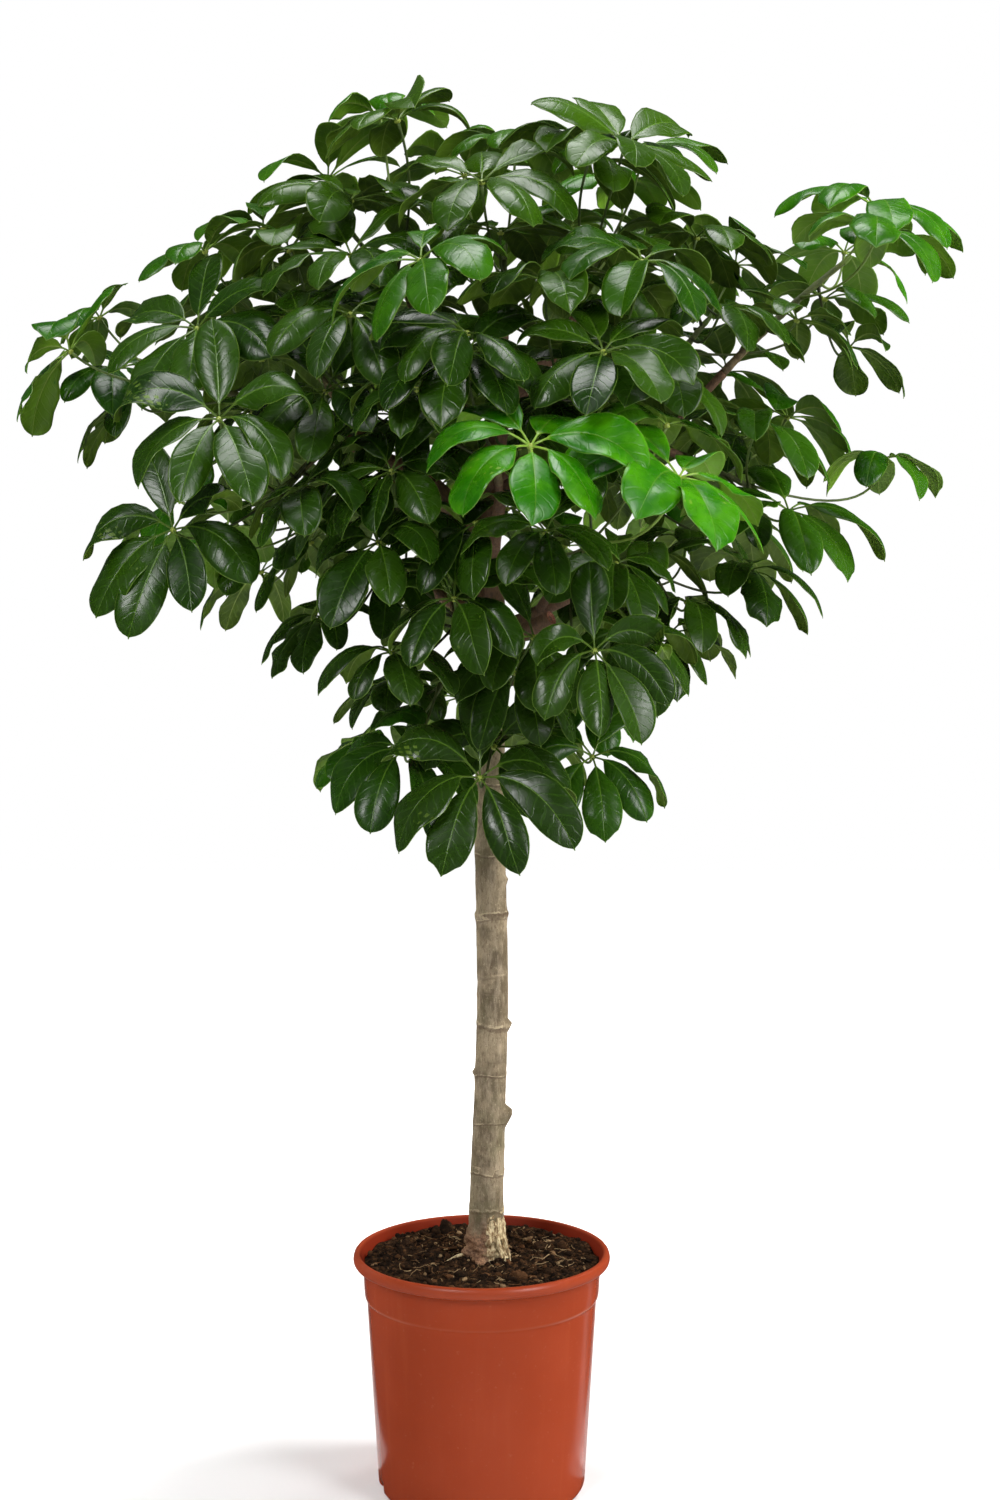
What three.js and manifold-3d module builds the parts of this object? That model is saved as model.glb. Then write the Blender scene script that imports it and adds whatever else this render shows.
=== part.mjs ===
// An umbrella plant grown as a small tree on one bare stem, standing in a plastic nursery pot.
// Millimetres, +Z up, the front faces -Y. The origin is the centre of the pot's underside.
//
// The woody stem and its limbs are one solid that stands in a plain hole in the soil. Each leafy stem is one
// solid: a green twig, the long leaf stalks that grow from it, and an umbrella of leaflets on each stalk. It is
// seated on the flat end of a short woody spur.
import * as THREE from "three";
import { mergeVertices } from "three/addons/utils/BufferGeometryUtils.js";
import Module from "manifold-3d";

const wasm = await Module();
wasm.setup();

// ---- Driving dimensions ----------------------------------------------------------------------------------

const SEAT_GAP = 0.3; // between pieces that rest on each other

const POT_HEIGHT = 247.5;
const POT_RIM_RADIUS = 136.3;
const POT_BASE_RADIUS = 109;
const POT_LEDGE_RADIUS = 122;
const POT_LEDGE_HEIGHT = 199.5; // where the wall steps out under the rim
const POT_WALL = 2.2;
const POT_FLOOR = 4;
const POT_SIDES = 32;
const DRAIN_NOTCHES = 2; // shallow cut-outs in the foot, the first to the left and a little forward
const FIRST_NOTCH = (195 / 180) * Math.PI;
const NOTCH_WIDTH = 26;
const NOTCH_HEIGHT = 13;
const NOTCH_DEPTH = 5;
const SOIL_HEIGHT = 241;
const SOIL_LUMP = 3.5; // how far its top rises and falls
const SOIL_CLEAR = 0.5; // from the pot's wall, the stem and the roots

const STEM_SIDES = 9;
const WOOD_SIDES = 5; // of limbs, roots, spurs and twigs
const TWIG_RADIUS = 4.2;
const SPUR_RADIUS = TWIG_RADIUS + 0.4;
const SPUR_SHARE = 0.3; // how much of a side shoot is woody
const TWIG_BOW = 0.08; // how far a twig bows up, as a share of its length
const TOP_LEAF = 0.97; // where on its twig the first leaf stalk grows, and how much lower each next one does
const LEAF_SPACING = 0.11;
const STALK_RADIUS = 1.5;
const STALK_SIDES = 3;
const STALK_PULL = 0.42; // how far down its axis an umbrella steers its stalk, as a share of the stalk's length

const HUB_RADIUS = 4.2;
const HUB_RISE = 2.5;
const REACH = 112; // from an umbrella's hub to a leaflet's tip
const BLADE_WIDTH = 0.385; // of the reach
const BLADE_THICK = 0.9;
const LEAFLETS = 7;
const FEW_LEAFLETS = 6; // on small umbrellas and at the back
const SMALL_UMBRELLA = 0.8;

// Umbrellas low in the crown hang limp, and those at its top stand up. Lift is the angle at which leaflets
// leave their hub, and droop is how far they then bend down.
const LOW_CROWN = { z: 780, lift: 0.3, droop: 2.6 };
const TOP_CROWN = { z: 1450, lift: 0.42, droop: 1.5 };
const WANDER = { spin: 0.4, droop: 0.35, turn: 0.11, lift: 0.18, sag: 0.4, roll: 0.26, reach: 0.1 };
const GOLDEN_ANGLE = Math.PI * (3 - Math.sqrt(5));

// ---- The tree's plan: where the wood runs and where each umbrella of leaflets is held --------------------

// Points of the main stem and of each limb: x, y, z and the radius there.
const MAIN_STEM = [
  [6, 0, 110, 12],
  [6, 0, 200, 16],
  [5, 0, 233, 24],
  [5, 0, 247, 22],
  [5, 0, 269, 19.2],
  [5, 0, 303, 18],
  [8.5, 0, 406, 17],
  [11.5, 0, 513, 16.6],
  [10, 0, 619, 16.4],
  [8, 0, 700, 15.8],
  [9, 0, 780, 15.4],
  [13, 0, 880, 14.6],
  [9, 0, 950, 14],
  [2, 0, 1000, 13.2],
  [8, 1, 1060, 11.6],
  [18, 0, 1120, 10.2],
  [20, -5, 1180, 8.6],
  [22, -10, 1232, 6.2],
];

const LIMBS = {
  left_high: [[2, 0, 1000, 10.5], [-55, -8, 1062, 9.6], [-115, -12, 1092, 8.4], [-185, -15, 1128, 6.2]],
  right_high: [[8, 1, 1045, 9.8], [70, -8, 1078, 9], [140, -12, 1092, 8], [200, -12, 1115, 6.4]],
  top_left: [[14, 1, 1090, 8.2], [-25, 5, 1150, 7.4], [-60, 5, 1205, 6]],
  top_right: [[18, 0, 1130, 8], [60, -8, 1180, 7.2], [90, -12, 1215, 6]],
  front: [[8, 0, 965, 8], [14, -55, 1000, 7.2], [20, -105, 1030, 6]],
  back: [[8, 1, 1020, 9], [10, 80, 1065, 8], [15, 150, 1110, 6.2]],
  back_left: [[4, 1, 1010, 8], [-60, 70, 1060, 7.2], [-120, 130, 1110, 6]],
  back_right: [[11, 0, 1070, 8], [75, 65, 1110, 7.2], [140, 120, 1150, 6]],
  low_right: [[13, 0, 905, 7.8], [60, -15, 925, 7], [105, -30, 945, 6]],
  low_left: [[12, 0, 915, 7.6], [-30, -5, 935, 6.8], [-60, -8, 955, 6]],
  low_back: [[12, 1, 900, 7.4], [10, 60, 925, 6.6], [5, 100, 945, 6]],
  pruned_stub: [[13, 0, 886, 9.5], [45, -25, 903, 8.6], [72, -43, 916, 8]],
};

// Surface roots, from the foot of the stem outwards.
const ROOTS = [
  [[2, -4, 242, 9], [-18, -12, 241, 5], [-34, -17, 238, 2.4]],
  [[8, -6, 242, 8], [20, -20, 239, 4], [26, -30, 236, 2]],
  [[8, 4, 242, 8], [26, 10, 240, 4.4], [38, 16, 237, 2.2]],
  [[2, 5, 242, 8], [-16, 18, 240, 4], [-24, 27, 236, 2]],
];

// Leafy stems: where each leaves the wood, where its growing tip is, and its umbrellas as hub x, y, z, reach as
// a share of REACH, and, where it doesn't simply look up and out, the way it faces.
const LEAFY_STEMS = {
  crest_left: {
    from: [-60, 5, 1205],
    tip: [-92, 4, 1296],
    hubs: [
      [-110, 22, 1462, 0.82],
      [-132, -82, 1338, 1.06, 0.25, -0.3, 1],
      [-166, 20, 1410, 0.95],
      [-126, -150, 1262, 1.05, -0.2, -0.7, 0.7],
    ],
  },
  crest_centre: {
    from: [22, -10, 1232],
    tip: [24, -18, 1300],
    hubs: [
      [2, -196, 1318, 1.08, -0.1, -0.35, 1],
      [36, -28, 1412, 0.92],
      [20, -112, 1296, 1],
      [-20, 60, 1396, 0.9],
    ],
  },
  crest_right: {
    from: [90, -12, 1215],
    tip: [118, -14, 1288],
    hubs: [
      [166, -42, 1396, 1.04, 0.1, -0.2, 1],
      [92, -122, 1356, 0.98],
      [158, 88, 1413, 0.95, 0, 0, 1],
      [140, -168, 1346, 1, 0.3, -0.4, 0.9],
      [104, 42, 1336, 0.95],
    ],
  },
  far_right: {
    from: [200, -12, 1115],
    tip: [384, -8, 1296],
    hubs: [
      [410, -40, 1345, 1.12, 0.15, -0.3, 1],
      [409, 88, 1342, 0.95, 0.15, 0.1, 1],
      [393, -124, 1291, 1, 0.25, -0.2, 1],
    ],
  },
  upper_right: {
    from: [140, -12, 1092],
    tip: [234, -30, 1226],
    hubs: [
      [222, -62, 1306, 1],
      [238, -132, 1214, 1],
      [370, 24, 1282, 0.92, 0.3, -0.1, 1],
      [284, 98, 1340, 0.95],
    ],
  },
  front_upper_right: {
    from: [70, -8, 1078],
    tip: [104, -128, 1126],
    hubs: [
      [150, -246, 1228, 1.05, 0.1, -0.45, 0.9],
      [112, -284, 1136, 0.92, 0, -0.7, 0.7],
      [168, -196, 1158, 0.98, 0.4, -0.6, 0.7],
      [62, -200, 1216, 0.95, 0, -0.5, 0.9],
    ],
  },
  right_side: {
    from: [170, -12, 1103],
    tip: [288, -6, 1056],
    hubs: [
      [280, -92, 1106, 1],
      [439, 52, 1098, 0.85, 0.1, -0.1, 1],
      [320, -42, 1028, 1.15, 0.25, -0.45, 0.9],
      [340, 84, 1150, 0.95],
    ],
  },
  right_low: {
    from: [105, -30, 945],
    tip: [184, -48, 962],
    hubs: [
      [284, 0, 970, 1, 0.3, -0.3, 0.9],
      [150, -150, 890, 0.9, 0.2, -0.6, 0.7],
      [202, 8, 904, 0.88, 0.25, -0.5, 0.8],
      [230, 60, 1010, 0.9],
    ],
  },
  front_centre: {
    from: [20, -105, 1030],
    tip: [14, -184, 1062],
    hubs: [
      [46, -326, 1044, 1.08, 0.05, -0.62, 0.75],
      [-12, -262, 1140, 1, 0, -0.7, 0.7],
      [-58, -262, 1112, 0.85, -0.3, -0.6, 0.7],
    ],
  },
  front_right: {
    from: [60, -15, 925],
    tip: [112, -142, 986],
    hubs: [
      [179, -292, 1022, 1.08, 0.25, -0.45, 0.9],
      [62, -214, 984, 0.84, 0, -0.6, 0.7],
      [176, -214, 1084, 0.95, 0.3, -0.6, 0.8],
      [108, -196, 872, 0.9, 0.2, -0.8, 0.4],
    ],
  },
  upper_left: {
    from: [-115, -12, 1092],
    tip: [-222, 14, 1238],
    hubs: [
      [-238, 32, 1360, 0.95],
      [-284, -62, 1292, 0.86],
      [-286, 92, 1284, 0.9],
      [-196, -72, 1290, 0.9],
    ],
  },
  far_left: {
    from: [-185, -15, 1128],
    tip: [-312, -16, 1164],
    hubs: [
      [-417, 40, 1250, 0.62],
      [-424, -58, 1190, 0.9, -0.7, -0.1, 0.6],
      [-276, -152, 1190, 1.08, -0.25, -0.75, 0.5],
      [-236, 12, 1214, 0.95],
      [-394, -20, 1185, 0.9, -0.1, -0.4, 0.8],
    ],
  },
  left_front: {
    from: [-150, -14, 1110],
    tip: [-204, -92, 1034],
    hubs: [
      [-241, -232, 1086, 1.1, -0.2, -0.86, 0.45],
      [-294, -180, 990, 1.05, -0.2, -0.9, 0.32],
      [-150, -186, 1126, 1, -0.1, -0.7, 0.7],
      [-310, -60, 1036, 0.95, -0.7, -0.2, 0.6],
    ],
  },
  left_low: {
    from: [-60, -8, 955],
    tip: [-108, -4, 968],
    hubs: [
      [-164, -62, 916, 0.84, -0.4, -0.4, 0.7],
      [-186, 34, 1004, 0.95, -0.6, 0.1, 0.7],
      [-124, -104, 1040, 0.92, -0.3, -0.5, 0.8],
    ],
  },
  front_low: {
    from: [-30, -5, 935],
    tip: [-24, -98, 900],
    hubs: [
      [-24, -204, 922, 0.95, -0.1, -0.7, 0.6],
      [-86, -150, 874, 0.85, -0.1, -0.4, 1],
      [-4, -228, 990, 0.92, -0.1, -0.75, 0.5],
      [-96, -176, 976, 0.95, -0.3, -0.7, 0.6],
    ],
  },
  bottom_left: {
    from: [13, 0, 868],
    tip: [-44, -38, 852],
    hubs: [
      [-76, -112, 778, 1.04, 0, -0.5, 0.8],
      [-124, -20, 790, 0.8, -0.45, -0.3, 0.9],
      [-97, 40, 850, 0.85, 0, -0.2, 1],
    ],
  },
  bottom_front: {
    from: [11, 0, 815],
    tip: [16, -62, 806],
    hubs: [
      [0, -172, 752, 1.16, 0, -0.75, 0.6],
      [34, -124, 856, 0.92, 0.1, -0.6, 0.7],
    ],
  },
  bottom_right: {
    from: [13, 0, 850],
    tip: [72, -34, 846],
    hubs: [
      [114, -72, 772, 1, 0.15, -0.65, 0.6],
      [48, -56, 786, 0.85, 0.1, -0.3, 1],
      [118, 10, 842, 0.85, 0.2, -0.6, 0.7],
    ],
  },
  front_left: {
    from: [-55, -8, 1062],
    tip: [-76, -100, 1112],
    hubs: [
      [-84, -192, 1044, 0.9, -0.2, -0.8, 0.5],
      [-52, -240, 1212, 1, -0.1, -0.55, 0.8],
      [-122, -206, 1190, 1.02, -0.2, -0.6, 0.7],
      [-180, -126, 1206, 0.95, -0.4, -0.4, 0.8],
    ],
  },
  back_top: { from: [20, -5, 1180], tip: [30, 92, 1270], grown: 3 },
  back_top_left: { from: [-120, 130, 1110], tip: [-166, 188, 1216], grown: 3 },
  back_top_right: { from: [140, 120, 1150], tip: [196, 176, 1248], grown: 3 },
  back_high: { from: [15, 150, 1110], tip: [18, 226, 1192], grown: 3 },
  back_left_side: { from: [-90, 100, 1085], tip: [-202, 146, 1040], grown: 3 },
  back_middle: { from: [10, 80, 1065], tip: [4, 206, 1016], grown: 3 },
  back_right_side: { from: [75, 65, 1110], tip: [196, 150, 1062], grown: 3 },
  back_low: { from: [5, 100, 945], tip: [8, 158, 890], grown: 3 },
};

// ---- Small helpers ---------------------------------------------------------------------------------------

const vec = ([x, y, z]) => new THREE.Vector3(x, y, z);
const UP = new THREE.Vector3(0, 0, 1);
const along = (a, b, t) => a.clone().lerp(b, t);

// A repeatable stream of draws from -1 to 1 for one leaf, by a linear congruential rule.
function draws(seed) {
  let state = (seed * 7919 + 104729) % 4294967296;
  const next = () => {
    state = (state * 1664525 + 1013904223) % 4294967296;
    return state / 2147483648 - 1;
  };
  next();
  return next;
}

// A point of the quadratic curve from a to c that b pulls.
function bend(a, b, c, t) {
  return along(along(a, b, t), along(b, c, t), t);
}

// ---- Where every leaf goes: umbrellas turn, tilt or shift a little until their leaflets are clear ---------

// Space is sorted into small cubes. Each holds the number of the stem whose blade, or whose wood or leaf stalk,
// is beside it, or 0.
const CUBE = 4;
const SPACE_CORNER = [-620.3, -520.3, 80.3];
const SPACE_CUBES = [310, 260, 360];
const bladeCubes = new Uint8Array(SPACE_CUBES[0] * SPACE_CUBES[1] * SPACE_CUBES[2]);
const stalkCubes = new Uint8Array(bladeCubes.length);
const WOOD = 255; // leafy stems have their own numbers from 1

const cubeOf = (p) => p.toArray().map((v, i) => Math.floor((v - SPACE_CORNER[i]) / CUBE));
const cubeIndex = ([x, y, z]) => (x * SPACE_CUBES[1] + y) * SPACE_CUBES[2] + z;

// Takes the cubes within a radius of a point, and leaves those that another stem has already.
function take(cubes, p, radius, stem) {
  const [x, y, z] = cubeOf(p);
  const n = Math.floor(radius / CUBE);
  for (let i = -n; i <= n; i++)
    for (let j = -n; j <= n; j++)
      for (let k = -n; k <= n; k++)
        if (CUBE * Math.hypot(i, j, k) <= radius) cubes[cubeIndex([x + i, y + j, z + k])] ||= stem;
}

const CLEARANCE = 7; // takes the 27 cubes round a point
const SAMPLE_STEP = 9; // between the points that are tested on a leaflet
const WOOD_STEP = 8;
const TWIG_STEPS = 16;
const STALK_STEPS = 24;

// Two directions square to an umbrella's axis, from which its leaflets' turns are counted.
function basisOf(axis) {
  const ref = Math.abs(axis.z) < 0.9 ? UP : new THREE.Vector3(0, -1, 0);
  const u = ref.clone().addScaledVector(axis, -ref.dot(axis)).normalize();
  return [u, axis.clone().cross(u)];
}

const turned = ([u, v], angle) => u.clone().multiplyScalar(Math.cos(angle)).addScaledVector(v, Math.sin(angle));

// The line of one leaflet: points, side vectors and face normals at even steps from the hub to the tip. It
// rises from the hub by its lift, and its own weight bends it down.
const LINE_STEPS = 10;
const WIDEST = 6; // the step at which the blade is widest
function leafletLine(hub, axis, radial, { lift, sag, roll, reach }) {
  const start = radial.clone().multiplyScalar(Math.cos(lift)).addScaledVector(axis, Math.sin(lift));
  const level = Math.sqrt(Math.max(0, 1 - start.z * start.z));
  const side0 = axis.clone().cross(radial);
  side0.multiplyScalar(Math.cos(roll)).addScaledVector(axis, Math.sin(roll));
  const line = [];
  const p = hub.clone();
  for (let i = 0; i <= LINE_STEPS; i++) {
    const d = start.clone().addScaledVector(UP, -sag * level * Math.pow(i / LINE_STEPS, 1.2)).normalize();
    const side = side0.clone().addScaledVector(d, -side0.dot(d)).normalize();
    line.push({ p: p.clone(), side, normal: d.clone().cross(side) });
    p.addScaledVector(d, reach / LINE_STEPS);
  }
  return line;
}

// The corners of a leaflet's faces: its two edges where it is widest, and its tip.
function leafletCorners(line, reach) {
  const { p, side, normal } = line[WIDEST];
  const half = (BLADE_WIDTH * reach) / 2;
  return {
    edges: [p.clone().addScaledVector(side, -half), p.clone().addScaledVector(side, half)],
    normal,
    tip: line[LINE_STEPS].p,
  };
}

// Points all over a leaflet.
const ROWS_TO_WIDEST = 7;
const ROWS_TO_TIP = 5;
function leafletSamples(hub, { edges: [right, left], tip }) {
  const points = [];
  const row = (a, b) => {
    const steps = Math.max(1, Math.ceil(a.distanceTo(b) / SAMPLE_STEP));
    for (let k = 0; k <= steps; k++) points.push(along(a, b, k / steps));
  };
  for (let i = 2; i <= ROWS_TO_WIDEST; i++) {
    const t = i / ROWS_TO_WIDEST;
    row(along(hub, right, t), along(hub, left, t));
  }
  for (let i = 1; i <= ROWS_TO_TIP; i++) {
    const t = i / ROWS_TO_TIP;
    row(along(right, tip, t), along(left, tip, t));
  }
  return points;
}

// A leaf stalk's line, bent once in its middle so that it meets the umbrella from below.
function stalkLine(root, hub, axis) {
  const pull = hub.clone().addScaledVector(axis, -STALK_PULL * root.distanceTo(hub));
  const middle = bend(root, pull, hub, 0.5);
  return (t) => (t < 0.5 ? along(root, middle, 2 * t) : along(middle, hub, 2 * t - 1));
}

// The umbrella that a plan row asks for, turned, tilted and shifted by one trial.
const NEAR_SHIFTS = [[0, 0, 0], [0, -22, 0], [0, 22, 0], [0, 0, 16], [0, 0, -16]];
const SHIFTS = [...NEAR_SHIFTS, [16, 0, 8], [-16, 0, 8], [0, -44, 6], [0, 44, 6]];
const TILTS = [[0, 0], [0.22, 0], [-0.22, 0], [0, 0.22], [0, -0.22]];
const TURNS = [0, 0.33, 0.67]; // of the angle between two leaflets

function umbrella(spec, shift, tilt, phase) {
  const draw = draws(spec.seed);
  const hub = spec.hub.clone().add(vec(shift));
  const axis = spec.axis.clone().add(vec([...tilt, 0])).normalize();
  const basis = basisOf(axis);
  const height = THREE.MathUtils.clamp((hub.z - LOW_CROWN.z) / (TOP_CROWN.z - LOW_CROWN.z), 0, 1);
  const lift = LOW_CROWN.lift + (TOP_CROWN.lift - LOW_CROWN.lift) * height;
  const spin = WANDER.spin * draw();
  const droop = LOW_CROWN.droop + (TOP_CROWN.droop - LOW_CROWN.droop) * height + WANDER.droop * draw();
  const leaflets = Array.from({ length: spec.count }, (_, i) => {
    const turn = (2 * Math.PI * (i + phase)) / spec.count + spin + WANDER.turn * draw();
    const shape = {
      lift: lift + WANDER.lift * draw(),
      sag: droop + WANDER.sag * draw(),
      roll: WANDER.roll * draw(),
      reach: spec.reach * (0.93 + WANDER.reach * draw()),
    };
    const corners = leafletCorners(leafletLine(hub, axis, turned(basis, turn), shape), shape.reach);
    return { turn, ...corners, samples: leafletSamples(hub, corners) };
  });
  return { hub, axis, basis, leaflets, stalk: stalkLine(spec.root, hub, axis) };
}

// How many leaflets of a trial umbrella cross what is already there. Each place where its stalk does counts as
// three.
function crossings(leaf, stem) {
  let count = 0;
  for (const leaflet of leaf.leaflets) {
    leaflet.crosses = leaflet.samples.some((p) => {
      const i = cubeIndex(cubeOf(p));
      return bladeCubes[i] || stalkCubes[i];
    });
    if (leaflet.crosses) count++;
  }
  for (let step = 2; step < STALK_STEPS; step++) {
    const i = cubeIndex(cubeOf(leaf.stalk(step / STALK_STEPS)));
    if (bladeCubes[i] || (stalkCubes[i] && stalkCubes[i] !== stem)) count += 3;
  }
  return count;
}

function place(spec) {
  let best = null;
  search: for (const shift of SHIFTS)
    for (const tilt of TILTS)
      for (const phase of TURNS) {
        const leaf = umbrella(spec, shift, tilt, phase);
        leaf.count = crossings(leaf, spec.stem);
        if (!best || leaf.count < best.count) best = leaf;
        if (leaf.count === 0) break search;
      }
  for (const { crosses, samples } of best.leaflets)
    if (!crosses) for (const p of samples) take(bladeCubes, p, CLEARANCE, spec.stem);
  for (let step = 1; step <= STALK_STEPS; step++)
    take(stalkCubes, best.stalk(step / STALK_STEPS), CLEARANCE, spec.stem);
  return best;
}

// The way an umbrella faces where the plan doesn't say: up, and outwards the further it is from the stem.
const OUTWARD_LEAN = 0.7 / 450;
const naturalFace = ([x, y]) => [OUTWARD_LEAN * x, OUTWARD_LEAN * y, 1];

// Umbrellas of a stem that grows where the plan names none: spread round its tip by the golden angle.
const GROWN_SPREAD = { out: 62, outWander: 26, side: 98, up: 78, rise: 22, size: 0.96, sizeWander: 0.08 };
const GROWN_SEED = 5000;
function grownHubs({ from, tip, grown }, number) {
  const out = new THREE.Vector3(tip[0] - from[0], tip[1] - from[1], 0).normalize();
  const side = out.clone().cross(UP);
  const draw = draws(GROWN_SEED + number);
  return Array.from({ length: grown }, (_, k) => {
    const angle = k * GOLDEN_ANGLE + number;
    const hub = vec(tip)
      .addScaledVector(out, GROWN_SPREAD.out + GROWN_SPREAD.outWander * draw())
      .addScaledVector(side, GROWN_SPREAD.side * Math.cos(angle))
      .addScaledVector(UP, GROWN_SPREAD.up * Math.sin(angle) + GROWN_SPREAD.rise);
    return [...hub.toArray(), GROWN_SPREAD.size + GROWN_SPREAD.sizeWander * draw()];
  });
}

// Takes the space along a path of wood.
function takePath(path) {
  for (let i = 0; i + 1 < path.length; i++) {
    const [a, b] = [vec(path[i]), vec(path[i + 1])];
    const steps = Math.ceil(a.distanceTo(b) / WOOD_STEP);
    for (let k = 0; k < steps; k++) {
      const radius = path[i][3] + ((path[i + 1][3] - path[i][3]) * k) / steps;
      take(stalkCubes, along(a, b, k / steps), radius + CLEARANCE, WOOD);
    }
  }
}

// A twig's line from its woody spur to its growing tip.
function twigCurve({ from, tip }) {
  const [a, c] = [vec(from), vec(tip)];
  const pull = along(a, c, 0.5).addScaledVector(UP, TWIG_BOW * a.distanceTo(c));
  return (t) => bend(a, pull, c, t);
}

// Every leafy stem with its curve and its umbrellas, each in its place.
function planTree() {
  takePath(MAIN_STEM);
  for (const limb of Object.values(LIMBS)) takePath(limb);
  const stems = Object.entries(LEAFY_STEMS).map(([name, plan], i) => ({
    name,
    plan,
    number: i + 1,
    curve: twigCurve(plan),
  }));
  for (const { curve, number } of stems)
    for (let i = 0; i <= TWIG_STEPS; i++)
      take(stalkCubes, curve(i / TWIG_STEPS), TWIG_RADIUS + CLEARANCE, number);
  let seed = 0;
  for (const stem of stems) {
    const hubs = stem.plan.hubs ?? grownHubs(stem.plan, stem.number);
    stem.leaves = hubs.map(([x, y, z, size, ...face], k) => {
      seed++;
      return place({
        seed,
        hub: vec([x, y, z]),
        axis: vec(face.length ? face : naturalFace([x, y])).normalize(),
        root: stem.curve(TOP_LEAF - LEAF_SPACING * k),
        stem: stem.number,
        reach: REACH * size,
        count: stem.plan.grown || size < SMALL_UMBRELLA ? FEW_LEAFLETS : LEAFLETS,
      });
    });
  }
  return stems;
}

// ---- Solids ----------------------------------------------------------------------------------------------

// A closed geometry from points and triangles.
function geometryOf(points, triangles) {
  const geometry = new THREE.BufferGeometry();
  const flat = points.flatMap((p) => [p.x, p.y, p.z]);
  geometry.setAttribute("position", new THREE.Float32BufferAttribute(flat, 3));
  geometry.setIndex(triangles);
  return geometry;
}

function solidOf(geometry) {
  const vertProperties = new Float32Array(geometry.getAttribute("position").array);
  const triVerts = new Uint32Array(geometry.index.array);
  return new wasm.Manifold(new wasm.Mesh({ numProp: 3, vertProperties, triVerts }));
}

function geometryFrom(solid) {
  const mesh = solid.getMesh();
  const geometry = new THREE.BufferGeometry();
  const flat = new Float32Array(mesh.numVert * 3);
  for (let i = 0; i < mesh.numVert; i++) {
    const start = i * mesh.numProp;
    flat.set(mesh.vertProperties.subarray(start, start + 3), i * 3);
  }
  geometry.setAttribute("position", new THREE.BufferAttribute(flat, 3));
  geometry.setIndex(new THREE.BufferAttribute(mesh.triVerts, 1));
  geometry.computeVertexNormals();
  return geometry;
}

// A round tube of changing radius through centres, closed by a flat face at each end. Ends face as the path
// does there, or as given.
function tube(centres, radii, sides, ends = []) {
  const points = [];
  const triangles = [];
  const last = centres.length - 1;
  let across = null;
  centres.forEach((c, i) => {
    const given = i === 0 ? ends[0] : i === last ? ends[1] : null;
    const [before, after] = [centres[Math.max(0, i - 1)], centres[Math.min(last, i + 1)]];
    const forward = given ?? after.clone().sub(before).normalize();
    const hint = across ?? (Math.abs(forward.z) > 0.9 ? new THREE.Vector3(1, 0, 0) : UP);
    across = hint.clone().addScaledVector(forward, -hint.dot(forward)).normalize();
    const other = forward.clone().cross(across);
    for (let k = 0; k < sides; k++) {
      const a = (2 * Math.PI * k) / sides;
      const p = c.clone().addScaledVector(across, radii[i] * Math.cos(a));
      points.push(p.addScaledVector(other, radii[i] * Math.sin(a)));
    }
  });
  for (let i = 0; i < last; i++)
    for (let k = 0; k < sides; k++) {
      const [a, b] = [i * sides + k, i * sides + ((k + 1) % sides)];
      triangles.push(a, b, b + sides, a, b + sides, a + sides);
    }
  const end = last * sides;
  for (let k = 1; k + 1 < sides; k++) triangles.push(0, k + 1, k, end, end + k, end + k + 1);
  return solidOf(geometryOf(points, triangles));
}

// A limb, root or stem of a path's points. What is cut for it is wider and longer than it by a clearance.
function pathTube(path, sides, clearance = 0) {
  const centres = path.map(vec);
  const last = centres.length - 1;
  const beyond = (i, inner) => centres[i].clone().sub(centres[inner]).setLength(clearance);
  const [before, after] = [beyond(0, 1), beyond(last, last - 1)];
  centres[0].add(before);
  centres[last].add(after);
  return tube(centres, path.map((p) => p[3] + clearance), sides);
}

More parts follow.
